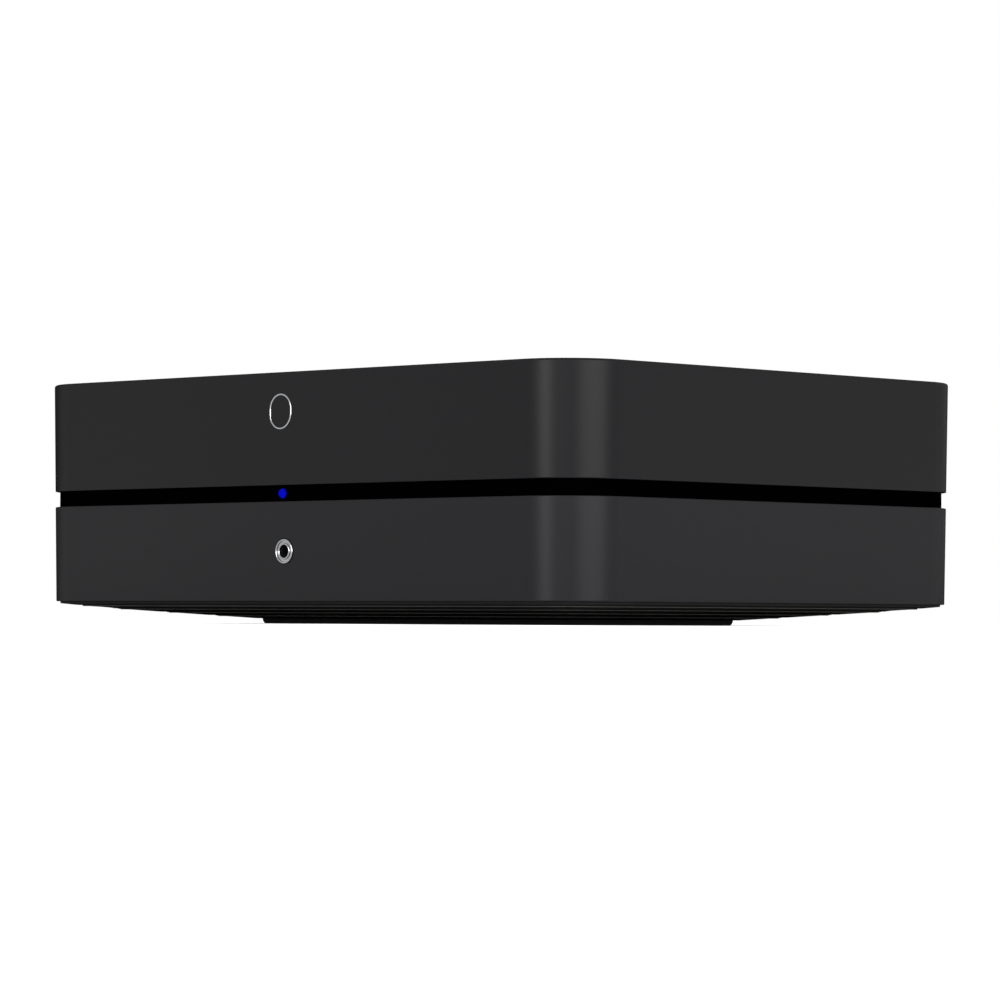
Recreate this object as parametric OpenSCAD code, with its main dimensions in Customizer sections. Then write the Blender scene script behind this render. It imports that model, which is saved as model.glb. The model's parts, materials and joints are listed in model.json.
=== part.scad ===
// Network music streamer.
// Two satin shells meet on a recessed black band, over a grooved base and one central foot.
// Millimetres. Origin at the middle of the foot's underside, +Z up, front towards -Y.

/* [Case] */
// Width of the case at the top
body_w = 220; // [218:1:260]
// Depth of the case at the top
body_d = 170; // [168:1:210]
// Radius of the upright corners at the top
corner_r = 18.5; // [16:0.5:20]
// Wall thickness of both shells
wall_t = 2.5; // [2:0.1:3]
// Lean of the walls, in degrees: the case narrows downwards
draft = 0.86; // [0.2:0.02:1.2]
// Rounding where the top meets the walls
edge_r = 0.8; // [0.3:0.1:1.4]
// Height of the upper shell
upper_h = 31.5; // [30:0.5:45]
// Height of the lower shell
lower_h = 27.75; // [27.5:0.25:40]
// Diameter of the screw bosses in the corners
boss_d = 8; // [7:0.5:9]
// Distance of the screw bosses from the case's sides
boss_inset = 16; // [15:0.5:18]
// Thickness of the webs that tie the bosses to the corners
web_t = 1.5; // [1:0.1:2.5]

/* [Gap band] */
// Height of the dark gap between the shells
gap_h = 4.5; // [4:0.25:7]
// How far the band lies behind the face of the shells
band_recess = 1.3; // [0.6:0.1:1.6]
// Height of the band's tongues behind each shell
tongue_h = 2; // [1.5:0.25:2]
// Thickness of the tongues
band_t = 2; // [1.5:0.1:3]
// Thickness of the screw lugs on the band
lug_t = 2; // [1.5:0.1:3]

/* [Base and foot] */
// Height of the foot
foot_h = 1.5; // [1.5:0.25:6]
// Rise of the base from the foot to the lower shell
base_h = 4.75; // [3.75:0.25:7]
// Wall thickness of the base
base_t = 1.8; // [1.6:0.1:2.4]
// How far the base's rim lies inside the lower shell's face
rim_setback = 1.2; // [0.6:0.1:1.6]
// Height of the base's upright rim
rim_h = 0.6; // [0.4:0.1:1]
// Distance from the case's side to the foot
foot_inset = 48; // [46:1:52]
// Corner radius of the foot
foot_r = 4; // [4:1:14]
// Rounding of the foot's lower edge
foot_edge_r = 1.2; // [0.4:0.1:1.4]
// Distance from the case's side to the first groove
groove_start = 7.5; // [7:0.5:9]
// Distance from one groove to the next
groove_pitch = 10.2; // [9.8:0.1:10.5]
// Number of grooves round the base
groove_count = 4; // [1:1:4]
// Width of each groove
groove_w = 1.2; // [0.8:0.1:1.4]
// Depth of each groove
groove_depth = 0.7; // [0.3:0.1:1]
// Length of the air slits in the grooves at the front and back
slit_l = 80; // [40:2:84]
// Length of the air slits in the grooves at the sides
slit_side_l = 50; // [30:2:54]
// Height of the lip that centres the lower shell
lip_h = 1.2; // [0.8:0.1:1.6]
// Thickness of that lip
lip_t = 1.6; // [1.2:0.1:2]
// Diameter of the screw posts on the base
base_post_d = 10; // [9:0.5:12]
// Height of the screw posts above the base's rim
base_post_h = 2.4; // [2:0.1:3]
// Height of the screw heads' seat above the base's rim
screw_seat_h = 0.9; // [0.6:0.1:1.2]

/* [Fits and fasteners] */
// Gap round pieces that drop into each other
fit = 0.25; // [0.15:0.05:0.35]
// Gap behind pieces that lie against a leaning wall
seat_gap = 0.05; // [0.02:0.01:0.1]
// Thread diameter of the screws
screw_d = 3; // [2.5:0.1:3.2]
// Diameter of the screw heads
screw_head_d = 5.6; // [5:0.1:5.8]
// Height of the screw heads
screw_head_h = 2; // [1.4:0.1:2.2]
// Radial play of a screw in a plain hole
screw_play = 0.2; // [0.1:0.05:0.3]
// Radial gap between a screw's core and its tapped hole
tap_gap = 0.05; // [0.02:0.01:0.1]
// Radial play of a screw head in its recess
head_play = 0.4; // [0.2:0.1:0.8]
// Length of the case screws held in the upper shell
screw_grip = 10; // [6:0.5:14]
// Length of the other screws held in their posts
small_grip = 4.4; // [3:0.1:6]
// Depth left free under a screw's tip
tip_room = 1; // [0.5:0.1:2]

/* [Circuit boards] */
// Height of the boards above the base's rim
board_lift = 6; // [5.5:0.25:6.25]
// Thickness of the boards
board_t = 1.6; // [1:0.1:1.6]
// Length of the two large boards, front to back
board_l = 118.5; // [115.5:0.5:119.5]
// Gap between the boards and the rear panel
board_gap = 1; // [0.5:0.1:2]
// Left edge of the main board, left of the middle
main_left = 86; // [85:1:90]
// Right edge of the main board, right of the middle
main_right = 38; // [37:0.5:40]
// Left edge of the power supply board, right of the middle
psu_left = 44; // [43:0.5:45]
// Right edge of the power supply board, right of the middle
psu_right = 86; // [86:1:90]
// Diameter of the posts that carry the boards
post_d = 7; // [6:0.5:7]
// Distance of the main board's posts from its edges
post_inset = 6; // [5:0.5:7]
// Distance of the main board's rear posts from its back edge
main_post_back = 28; // [26:0.5:30]
// Distance of the supply board's posts from its left and right edges
psu_post_inset = [4, 6]; // [4:0.5:7]
// Distance of the supply board's left posts from its front and back edges
psu_left_posts = [43.5, 13]; // [12:0.5:44]
// Distance of the supply board's right posts from its front and back edges
psu_right_posts = [4.5, 44.5]; // [4:0.5:46]

/* [Front] */
// Diameter of the lamp
led_d = 2.7; // [2:0.1:3.5]
// Distance of the lamp left of the middle
led_left = 1.9; // [0:0.1:4]
// How far the lamp's dome stands out of the band
led_dome = 1.2; // [0.2:0.1:1.3]
// Width of the rim that holds the lamp from behind
led_rim = 0.7; // [0.4:0.1:1]
// Thickness of the lamp's rim
led_rim_t = 0.8; // [0.5:0.1:1.2]
// Width, depth and height of the lamp's board
led_board_size = [14, 1.2, 10]; // [0.8:0.1:20]
// Gap between the band and the lamp's board
led_board_gap = 2.7; // [2.5:0.1:4]
// Diameter of the lamp board's posts
led_post_d = 3; // [2.5:0.1:3.5]
// Distance between the lamp board's posts
led_post_pitch = 10; // [9:0.5:10.5]
// Bore of the headphone socket
jack_bore_d = 3.6; // [3.5:0.05:3.7]
// Depth of the headphone socket
jack_bore_l = 14.4; // [12:0.1:14.6]
// Diameter of the socket's barrel
jack_barrel_d = 5; // [4.8:0.1:5.4]
// Diameter of the bright ring round the socket
jack_ring_d = 6.9; // [6.6:0.1:8]
// Thickness of the ring
jack_ring_h = 0.9; // [0.8:0.1:1.4]
// Depth of the ring's seat in the wall
jack_ring_in = 0.6; // [0.3:0.1:0.8]
// Thickness of the ring's lip over the barrel
jack_lip = 0.5; // [0.4:0.05:0.6]
// Depth of the groove in the ring's face
jack_groove = 0.25; // [0.1:0.05:0.3]
// Width, depth and height of the socket's body
jack_body_size = [12, 14, 7]; // [6:0.5:20]
// Width and length of the headphone board
jack_board_size = [24, 20]; // [18:0.5:28]
// How far the socket's body overhangs its board
jack_overhang = 2.6; // [1:0.1:4]
// Distance between the headphone board's posts
jack_post_pitch = 15; // [14:0.5:16]
// Diameter of the headphone board's posts
jack_post_d = 6; // [5:0.5:6.5]
// Width of the mark on the front
badge_w = 8.8; // [4:0.1:9]
// Distance of the mark left of the middle
badge_left = 1.2; // [0:0.1:3]
// Height of the mark
badge_h = 10; // [9:0.5:14]
// Line width of the mark
badge_line = 0.5; // [0.4:0.1:1.2]
// How far the mark stands out of the face
badge_proud = 0.25; // [0.1:0.05:0.5]
// Depth of the mark's groove
badge_depth = 0.4; // [0.2:0.1:0.8]
// Distance of the mark's middle below the top
badge_drop = 11; // [9:0.5:16]

/* [Touch strip] */
// Width of the touch strip on the top
touch_w = 64; // [40:1:80]
// Depth of the touch strip, front to back
touch_d = 16; // [12:1:20]
// Thickness of the touch strip
touch_t = 1.2; // [0.8:0.1:1.4]
// Corner radius of the touch strip
touch_r = 3; // [1:0.5:5]
// Distance of the strip's middle from the front
touch_setback = 25; // [22:1:40]
// Margin of the sensor board round the strip
touch_margin = 2; // [1:0.5:4]
// Thickness of the sensor board
touch_board_t = 1.2; // [0.8:0.1:1.6]
// Width of the flat cable
ribbon_w = 10; // [6:0.5:12]
// Thickness of the flat cable
ribbon_t = 0.4; // [0.2:0.1:0.6]
// Distance of the flat cable left of the middle
ribbon_left = 24; // [14:1:26]
// Width, depth and height of the flat cable's sockets
ribbon_socket_size = [14, 5, 3]; // [2:0.5:16]
// Distance of the cable's lower socket from the main board's front edge
ribbon_setback = 6; // [3:0.5:8]

/* [Rear panel] */
// Width of the window in the back
window_w = 176; // [174:1:178]
// How far the panel laps behind the wall
panel_lap = 2; // [1.5:0.1:2]
// Thickness of the panel's lap
panel_flange_t = 1.5; // [1.2:0.1:2.5]
// How far the panel lies behind the wall's face
panel_recess = 0.3; // [0.1:0.1:0.6]
// How far the sockets stand out of the panel
socket_proud = 0.4; // [0.2:0.1:1]

/* [Mains inlet and switch] */
// Distance of the mains inlet's middle from the window's right end
mains_in = 14; // [13.5:0.1:14.5]
// Width, depth and height of the mains inlet
mains_size = [20, 18, 13]; // [12:0.5:20]
// Diameter of each round end of the inlet's hollow
mains_lobe_d = 7.9; // [7.6:0.1:8.2]
// Distance between the inlet's pins
mains_pitch = 8.6; // [8.4:0.1:8.8]
// Height of the hollow between its round ends
mains_waist = 6; // [5:0.5:7]
// Depth of the inlet's hollow
mains_depth = 11; // [9:0.5:12]
// Diameter of the inlet's pins
mains_pin_d = 2.4; // [2.2:0.1:2.5]
// How far the pins stay inside the mouth
mains_pin_in = 2.5; // [1:0.5:4]
// How far the pins stand out behind the inlet
mains_pin_tail = 2; // [1:0.5:4]
// Distance from the middle of the mains inlet to the middle of the switch
switch_pitch = 20; // [19.5:0.1:20.5]
// Width, depth and height of the switch's body
switch_size = [9, 12, 13.6]; // [8:0.2:15]
// Width of the switch's bezel round its body
switch_bezel = 1; // [0.6:0.1:1.4]
// Thickness of the bezel
switch_bezel_t = 1.2; // [0.8:0.1:1.6]
// Side wall of the switch's body
switch_wall = 0.8; // [0.7:0.1:1]
// Depth of the switch's hollow
switch_depth = 8; // [7:0.5:9]
// Height of the rocker
rocker_h = 10.8; // [9:0.2:11]
// Depth of the rocker's pivot behind the panel
rocker_pivot_in = 1.5; // [1:0.1:2]
// Tilt of the rocker at each end of its travel, in degrees
rocker_tilt = 9; // [5:1:10]
// Height of the rocker's middle and of its ends over the panel
rocker_rise = [0.9, 1.8]; // [0.4:0.1:2.2]
// Depth of the rocker behind its pivot
rocker_heel = 2.2; // [1.6:0.1:2.6]
// Width of the rounded land at each end of the rocker
rocker_land = 0.2; // [0.1:0.1:0.5]
// Diameter of the rocker's pivot pins
rocker_pin_d = 1.6; // [1.2:0.1:2]
// Radial play of a turning or sliding pin
run_gap = 0.05; // [0.02:0.01:0.09]
// Side play of a turning piece
side_gap = 0.2; // [0.1:0.05:0.3]

/* [Data sockets] */
// Distance of the network socket right of the middle
ethernet_x = 28; // [27.5:0.1:29]
// Width, depth and height of the network socket
ethernet_size = [16, 21, 13.5]; // [12:0.5:22]
// Width, depth and height of the network plug's hollow
ethernet_hollow = [11.9, 13, 8.2]; // [6:0.1:14]
// Width and height of the plug latch's notch
ethernet_notch = [6.2, 2.2]; // [1:0.1:7]
// Height of the hollow above the network socket's underside
ethernet_floor = 1.5; // [1:0.1:2.5]
// Distance of the setup button right of the middle
setup_x = 13; // [12:0.1:14]
// Height of the setup button above the board
setup_axis_h = 5; // [4.5:0.1:6]
// Diameter of the setup button
setup_d = 4; // [3:0.1:4.5]
// Diameter of the button's stop behind the panel
setup_stop_d = 5.6; // [5.4:0.1:6.4]
// Thickness of the button's stop
setup_stop_t = 1.5; // [1:0.1:2]
// How far the button stands out of the panel
setup_proud = 1; // [0.8:0.1:1.5]
// Travel of the button
setup_travel = 0.8; // [0.4:0.1:1]
// Diameter of the button's stem
setup_stem_d = 2.4; // [1.6:0.1:2.8]
// Length of the stem inside the switch
setup_stem_in = 3; // [2:0.1:4]
// Width, depth and height of the push switch
setup_switch_size = [7.5, 6.5, 8]; // [5:0.5:10]
// Distance of the USB socket right of the middle
usb_x = 0; // [-0.5:0.1:0.5]
// Width, depth and height of the USB socket
usb_size = [13.2, 14, 5.8]; // [5:0.1:16]
// Sheet thickness of the USB socket
usb_sheet = 0.4; // [0.3:0.05:0.5]
// Width, length and thickness of the USB socket's tongue
usb_tongue_size = [11.2, 8.5, 1.9]; // [1.5:0.1:12]
// Depth of the block that carries the tongue
usb_block_d = 4; // [3:0.5:5]
// Distances of the optical sockets left of the middle, output first
optical_left = [14, 26]; // [13.5:0.1:26.5]
// Width, depth and height of an optical socket
optical_size = [9.8, 14, 10.2]; // [8:0.1:16]
// Width, depth and height of an optical socket's hollow
optical_hollow = [7.6, 9.5, 7.8]; // [6:0.1:11]
// Thickness of a shutter
shutter_t = 0.8; // [0.6:0.1:1]
// Depth of a shutter's hinge behind the mouth
shutter_in = 1.2; // [1:0.1:2]
// Distance of a shutter's hinge below the roof of the hollow
shutter_drop = 0.9; // [0.8:0.05:1.2]
// Diameter of a shutter's hinge barrel
shutter_barrel_d = 1.4; // [1.2:0.1:1.5]
// Diameter of a shutter's hinge pins
shutter_pin_d = 0.9; // [0.7:0.05:1]
// Depth of a hinge pin in the socket's side wall
shutter_pin_l = 0.8; // [0.5:0.1:0.9]

/* [Phono sockets] */
// Distance of the middle phono socket left of the middle
phono_left = 56; // [55.5:0.1:57]
// Distance between the phono sockets
phono_pitch = 14; // [13.5:0.1:14.5]
// Height of the phono sockets above the board
phono_axis_h = 8; // [7.5:0.1:8]
// Width of the phono housing beside its outer sockets
phono_margin = 7; // [6.5:0.1:7.5]
// Depth of the phono housing
phono_housing_d = 9; // [7:0.5:10]
// Height of the phono housing
phono_housing_h = 13; // [12.5:0.1:13.4]
// Outer diameter of the phono barrels
phono_d = 8.3; // [8.2:0.05:8.4]
// Wall thickness of the phono barrels
phono_wall = 0.85; // [0.6:0.05:1]
// Diameter of the barrels' collars
phono_collar_d = 10; // [9.4:0.1:10.4]
// How far the collars stand out of the panel
phono_collar_proud = 0.8; // [0.4:0.1:1.5]
// How far the barrels stand out of the panel
phono_out = 7.5; // [6:0.5:9]
// How far the inserts stay inside the barrels' mouths
phono_insert_in = 0.5; // [0.2:0.1:1]
// Bore of the phono inserts
phono_bore_d = 3.3; // [3.2:0.05:3.4]
// Height of the panel screws above the board
panel_screw_h = 2.9; // [2.8:0.1:3.2]

/* [Streaming and sound parts] */
// Distance of the processor right of the middle
processor_x = 2; // [0:0.5:3]
// Distance of the processor from the main board's back edge
processor_back = 51; // [50:0.5:55]
// Width, depth and height of the processor
processor_size = [18, 18, 1.6]; // [1:0.1:24]
// Width and depth of the processor's heat sink
sink_w = 34; // [30:1:35]
// Height of the heat sink
sink_h = 14; // [10:0.5:18]
// Thickness of the heat sink's plate
sink_plate_t = 3; // [2:0.5:4]
// Number of fins on the heat sink
sink_fins = 9; // [6:1:11]
// Thickness of each fin
sink_fin_t = 1.2; // [0.8:0.1:1.5]
// Width, depth and height of a memory chip
memory_size = [9, 12, 1.2]; // [0.8:0.1:14]
// Distance between the memory chips
memory_pitch = 16; // [14:0.5:18]
// Distance of the memory chips left of the middle
memory_left = 26; // [25:0.5:30]
// Width, depth and height of the wireless module
wifi_size = [18, 24, 3]; // [2:0.5:26]
// Distance of the wireless module left of the middle
wifi_left = 66; // [64:0.5:68]
// Distance of the wireless module from the main board's back edge
wifi_back = 67; // [64:0.5:70]
// Length, thickness and height of the aerial plates
aerial_size = [40, 0.8, 12]; // [0.6:0.1:46]
// Distance of the aerials' middle below the top
aerial_drop = 18; // [14:0.5:20]
// Distance of the rear aerial left of the middle
aerial_left = 60; // [58:0.5:62]
// Diameter of the aerial leads
lead_d = 1.4; // [1:0.1:2]
// Bend radius of the aerial leads
lead_bend = 6; // [4:0.5:8]
// Diameter of the sound capacitors
cap_d = 6; // [5:0.5:6.5]
// Height of the sound capacitors
cap_h = 9; // [7:0.5:12]
// Distance between the sound capacitors
cap_pitch = 7.5; // [7:0.1:8]
// Number of sound capacitors
cap_count = 5; // [2:1:6]
// Distance of the sound capacitors from the main board's back edge
cap_back = 19; // [17:0.5:20]
// Side length of the square inductors
inductor_w = 10; // [8:0.5:11]
// Height of the inductors
inductor_h = 5; // [3:0.5:8]
// Distance between the inductors
inductor_pitch = 14; // [13:0.5:15]
// Distance of the inductors' corner from the main board's right and front edges
inductor_place = [18, 22]; // [16:0.5:24]

/* [Power supply parts] */
// Distance of the large parts from the supply board's edges
psu_margin = 2; // [1:0.5:2.5]
// Width, depth and height of the mains filter
filter_size = [18, 16, 20]; // [14:0.5:24]
// Distance of the mains filter from the supply board's back edge
filter_back = 29; // [28:0.5:31]
// Length of the fuse with its clips
fuse_l = 18; // [16:0.5:20]
// Diameter of the fuse
fuse_d = 5; // [4:0.5:5]
// Length of a fuse clip
clip_l = 3; // [2:0.5:4]
// Wall of a fuse clip
clip_t = 0.6; // [0.4:0.1:1]
// Distance of the fuse from the supply board's back edge
fuse_back = 20.5; // [20:0.1:21]
// Diameter of the large capacitor
bulk_d = 18; // [16:0.5:18]
// Height of the large capacitor
bulk_h = 32; // [25:1:40]
// Distance of the large capacitor from the supply board's back edge
bulk_back = 35; // [34:0.5:36]
// Width, depth and height of the transformer's core
core_size = [33, 14, 28]; // [12:0.5:34]
// Width of the core's middle leg
core_leg = 10; // [8:0.5:11]
// Thickness of the core's outer legs and yokes
core_yoke = 5; // [4:0.5:6]
// How far the winding stands out of the core
winding_out = 5.5; // [4:0.5:6]
// Distance of the transformer from the supply board's back edge
core_back = 65; // [63:0.5:67]
// Diameter of the output capacitors
output_d = 10; // [8:0.5:10]
// Height of the output capacitors
output_h = 22; // [16:1:26]
// Distance between the output capacitors, across and along the board
output_pitch = [13, 14]; // [12:0.5:15]
// Distance of the first output capacitors from the supply board's left edge
output_left = 11; // [11:0.5:11.5]
// Distance of the output capacitors' middle from the supply board's back edge
output_back = 94; // [93:0.5:95]
// Thickness of the power supply's heat sink
psu_sink_t = 4; // [3:0.5:4]
// Length of the power supply's heat sink
psu_sink_l = 36; // [34:1:37]
// Height of the power supply's heat sink
psu_sink_h = 25; // [20:1:30]
// Distance of that heat sink from the supply board's front edge
psu_sink_front = 9; // [8.5:0.5:10]
// Width, thickness and height of a power transistor
transistor_size = [10, 4.5, 15]; // [4:0.5:16]
// Diameter of the wires between the boards
wire_d = 1.8; // [1.2:0.1:2.2]
// Distance between the wires
wire_pitch = 3; // [2.8:0.1:3.5]
// How far the wires stand inside each board's edge
wire_inset = 4; // [3:0.5:4]
// Number of wires
wire_count = 4; // [2:1:4]
// Distance of the first wire from the boards' front edge
wire_front = 16; // [15:0.5:17]

/* [Hidden] */
$fn = 48;
// Small overlap that ties one form of a piece to the next
root = 0.3;
// How far a cut runs past the face that it opens
past = 1;

case_grey = "#2c2d30";
band_black = "#08080a";
base_grey = "#1b1b1d";
board_green = "#1f4a33";
chip_black = "#18181a";
steel = "#b8babd";

// Heights of the case's seams
z_lower = foot_h + base_h;
z_gap = z_lower + lower_h;
z_upper = z_gap + gap_h;
z_top = z_upper + upper_h;
// Centres of the corner arcs
hx = body_w / 2 - corner_r;
hy = body_d / 2 - corner_r;

// How far the leaning walls have come in at a height
function inset(z) = (z_top - z) * tan(draft);
// Radius of the corners' outer face at a height
function face_r(z) = corner_r - inset(z);
function front_y(z) = inset(z) - body_d / 2;
function rear_y(z) = body_d / 2 - inset(z);
function side_x(z) = body_w / 2 - inset(z);

// Screws, their holes and the stack that they clamp
hole_r = screw_d / 2 + screw_play;
tap_r = screw_d / 2 + tap_gap;
boss_x = body_w / 2 - boss_inset;
boss_y = body_d / 2 - boss_inset;
boss_out = (corner_r - boss_inset) * sqrt(2);
lug_z = z_gap + (gap_h - lug_t) / 2;
lug_top = lug_z + lug_t;
seat_z = z_lower + screw_seat_h;
post_top = z_lower + base_post_h;
case_screw_l = lug_top + screw_grip - seat_z;
board_screw_l = board_t + small_grip;

// Band: radii measured from the corner arcs' centres
tongue_r = face_r(z_gap - tongue_h) - wall_t - fit;
band_r = face_r(z_gap) - band_recess;
band_in_r = tongue_r - band_t;
band_front_y = -(hy + band_r);
band_back_y = -(hy + band_in_r);

// Base: the slope from its rim down to the foot
rim_z = z_lower - rim_h;
rim_in = inset(z_lower) + rim_setback;
function slope_share(i) = (i - rim_in) / (foot_inset - rim_in);
function base_z(i) = i > foot_inset ? foot_h : rim_z + (foot_h - rim_z) * slope_share(i);
function edge_inset(p) = min(body_w / 2 - abs(p[0]), body_d / 2 - abs(p[1]));

// Rear window, panel and boards
window_z0 = z_lower + lip_h + fit + panel_lap;
window_z1 = z_gap - tongue_h - fit - panel_lap;
flange_y = rear_y(window_z0 - panel_lap) - wall_t - seat_gap;
panel_back = flange_y - panel_flange_t;
panel_y = rear_y(window_z0) - panel_recess;
mouth_y = panel_y + socket_proud;
mains_x = window_w / 2 - mains_in;
switch_x = mains_x - switch_pitch;
// The two panels meet halfway between the phono sockets and the optical sockets
seam_x = -(phono_left - phono_pitch - phono_collar_d / 2 + max(optical_left) + optical_size[0] / 2) / 2;
board_z = z_lower + board_lift;
board_top = board_z + board_t;
board_y1 = panel_back - board_gap;
board_y0 = board_y1 - board_l;

// Headphone socket
jack_z = z_lower + lower_h / 2;
jack_bore_r = jack_bore_d / 2;
ring_r = jack_ring_d / 2;
ring_y = front_y(jack_z + ring_r) + jack_ring_in;
jack_mouth_y = ring_y - jack_ring_h + jack_lip;
jack_body_y = front_y(jack_z - jack_body_size[2] / 2) + wall_t + seat_gap;
jack_board_top = jack_z - jack_body_size[2] / 2;
jack_board_y = jack_body_y + jack_overhang;
jack_post_y = jack_board_y + jack_board_size[1] - jack_post_d / 2;

// Lamp
lamp_z = z_gap + gap_h / 2;
led_r = led_d / 2;
led_post_x = [for (s = [-1, 1]) s * led_post_pitch / 2 - led_left];
led_board_y = band_back_y + led_board_gap;
led_peg_d = led_post_d / 2;

// Touch strip and its cable
touch_y = touch_setback - body_d / 2;
touch_under = z_top - wall_t;
ribbon_y0 = board_y0 + ribbon_setback;
ribbon_z0 = board_top + ribbon_socket_size[2];
ribbon_z1 = touch_under - touch_board_t - ribbon_socket_size[2];

// Rocker and setup button
switch_z = board_top + switch_size[2] / 2;
rocker_y = panel_y - rocker_pivot_in;
rocker_w = switch_size[0] - 2 * switch_wall - 2 * side_gap;
setup_z = board_top + setup_axis_h;
setup_stop_y = panel_back - seat_gap;
setup_switch_y = setup_stop_y - setup_stop_t - setup_travel - side_gap;

// Optical sockets
optical_floor = (optical_size[2] - optical_hollow[2]) / 2;
shutter_y = mouth_y - shutter_in;
shutter_z = board_top + optical_floor + optical_hollow[2] - shutter_drop;
shutter_w = optical_hollow[0] - 2 * side_gap;
shutter_l = optical_hollow[2] - shutter_drop - side_gap;

// Phono sockets, from left to right as seen from the back
phono_z = board_top + phono_axis_h;
phono_r = phono_d / 2;
phono_insert_r = phono_r - phono_wall - run_gap;

// Large inner parts
processor_y = board_y1 - processor_back;
wifi_y = board_y1 - wifi_back;
aerial_z = z_top - aerial_drop;
cap_y = board_y1 - cap_back;
psu_mid = (psu_left + psu_right) / 2;
core_y = board_y1 - core_back;
fuse_y = board_y1 - fuse_back;
psu_sink_y = board_y0 + psu_sink_front;
psu_sink_x = psu_right - psu_margin - psu_sink_t;

// Posts: place and height of the board that each one carries
main_posts = [
  for (x = [post_inset - main_left, main_right - post_inset])
    for (y = [board_y0 + post_inset, board_y1 - main_post_back]) [x, y, board_z]
];
psu_posts = [
  [psu_left + psu_post_inset[0], board_y0 + psu_left_posts[0], board_z],
  [psu_left + psu_post_inset[0], board_y1 - psu_left_posts[1], board_z],
  [psu_right - psu_post_inset[1], board_y0 + psu_right_posts[0], board_z],
  [psu_right - psu_post_inset[1], board_y1 - psu_right_posts[1], board_z]
];
jack_posts = [for (s = [-1, 1]) [s * jack_post_pitch / 2, jack_post_y, jack_board_top - board_t]];

// Shared forms

// Carries a profile of radius and height round a plan with rounded corners
module sweep_around(hx, hy) {
  for (k = [0:3]) {
    a = k % 2 == 0 ? hx : hy;
    b = k % 2 == 0 ? hy : hx;
    rotate(90 * k) translate([a, b, 0]) {
      rotate_extrude(angle = 90) children();
      rotate([90, 0, 0]) linear_extrude(2 * b) children();
    }
  }
}

module rounded_rect(w, d, r) {
  square([w - 2 * r, d], center = true);
  square([w, d - 2 * r], center = true);
  for (sx = [-1, 1], sy = [-1, 1])
    translate([sx * (w / 2 - r), sy * (d / 2 - r)]) circle(r);
}

// A block whose lower face is centred on x, y
module block_at(x, y, z, size) {
  translate([x - size[0] / 2, y - size[1] / 2, z]) cube(size);
}

// Puts its children at the four corner bosses, with +X towards the corner
module at_bosses() {
  for (sx = [-1, 1], sy = [-1, 1])
    translate([sx * boss_x, sy * boss_y, 0]) rotate(atan2(sy, sx)) children();
}

module rod(r, z0, z1) {
  translate([0, 0, z0]) cylinder(r = r, h = z1 - z0);
}

// A round pin or hole along Y, from y0 to y1
module rod_y(x, z, r, y0, y1) {
  translate([x, y1, z]) rotate([90, 0, 0]) cylinder(r = r, h = y1 - y0);
}

// A round pin or hole along X, centred on x
module rod_x(x, y, z, r, l) {
  translate([x, y, z]) rotate([0, 90, 0]) cylinder(r = r, h = l, center = true);
}

// Boss with a web to the corner of the case
module corner_boss(z0, z1, web_z0, web_z1) {
  rod(boss_d / 2, z0, z1);
  translate([0, -web_t / 2, web_z0])
    cube([face_r(z_lower) - wall_t / 2 - boss_out, web_t, web_z1 - web_z0]);
}

// Screw with its shank along +Z from the seat of its head
module screw(l) {
  difference() {
    union() {
      rod(screw_d / 2, 0, l);
      rod(screw_head_d / 2, -screw_head_h, 0);
    }
    translate([0, 0, -screw_head_h - root]) cylinder(r = screw_d / 2 - tap_gap, h = screw_head_h, $fn = 6);
  }
}

// Case

module wall_profile(z0, z1) {
  polygon([
    [face_r(z0) - wall_t, z0],
    [face_r(z0), z0],
    [face_r(z1), z1],
    [face_r(z1) - wall_t, z1]
  ]);
}

module upper_profile() {
  shoulder = z_top - edge_r;
  arc_r = face_r(shoulder) - edge_r;
  wall_profile(z_upper, shoulder);
  translate([0, z_top - wall_t]) square([arc_r, wall_t]);
  translate([arc_r, shoulder]) circle(edge_r);
}

// Upright outline with round ends
module pill(w, h) {
  square([w, h - w], center = true);
  for (s = [-1, 1]) translate([0, s * (h - w) / 2]) circle(d = w);
}

module badge_ring(grow, depth, out) {
  translate([-badge_left, front_y(z_top - badge_drop), z_top - badge_drop]) rotate([90 + draft, 0, 0])
    translate([0, 0, -depth]) linear_extrude(depth + out) difference() {
      pill(badge_w + 2 * grow, badge_h + 2 * grow);
      pill(badge_w - 2 * badge_line - 2 * grow, badge_h - 2 * badge_line - 2 * grow);
    }
}

module upper_shell() color(case_grey) difference() {
  union() {
    sweep_around(hx, hy) upper_profile();
    translate([-hx, -hy, touch_under]) cube([2 * hx, 2 * hy, wall_t]);
    at_bosses() corner_boss(lug_top, touch_under + root, z_upper + tongue_h + fit, touch_under + root);
  }
  at_bosses() rod(tap_r, lug_top - past, seat_z + case_screw_l + tip_room);
  translate([0, touch_y, z_top - touch_t])
    linear_extrude(touch_t + past) rounded_rect(touch_w + 2 * fit, touch_d + 2 * fit, touch_r + fit);
  badge_ring(seat_gap, badge_depth, past);
}

module lower_shell() color(case_grey) difference() {
  union() {
    sweep_around(hx, hy) wall_profile(z_lower, z_gap);
    at_bosses() corner_boss(post_top, lug_z, post_top, z_gap - tongue_h - fit);
  }
  at_bosses() rod(hole_r, post_top - past, lug_z + past);
  rod_y(0, jack_z, jack_barrel_d / 2 + fit, ring_y - past, jack_body_y);
  rod_y(0, jack_z, ring_r + fit, -body_d / 2, ring_y);
  translate([-window_w / 2, flange_y - past, window_z0])
    cube([window_w, wall_t + 3 * past, window_z1 - window_z0]);
}

module band_profile() {
  polygon([
    [band_in_r, z_gap - tongue_h],
    [tongue_r, z_gap - tongue_h],
    [tongue_r, z_gap],
    [band_r, z_gap],
    [band_r, z_upper],
    [tongue_r, z_upper],
    [tongue_r, z_upper + tongue_h],
    [band_in_r, z_upper + tongue_h]
  ]);
}

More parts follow.
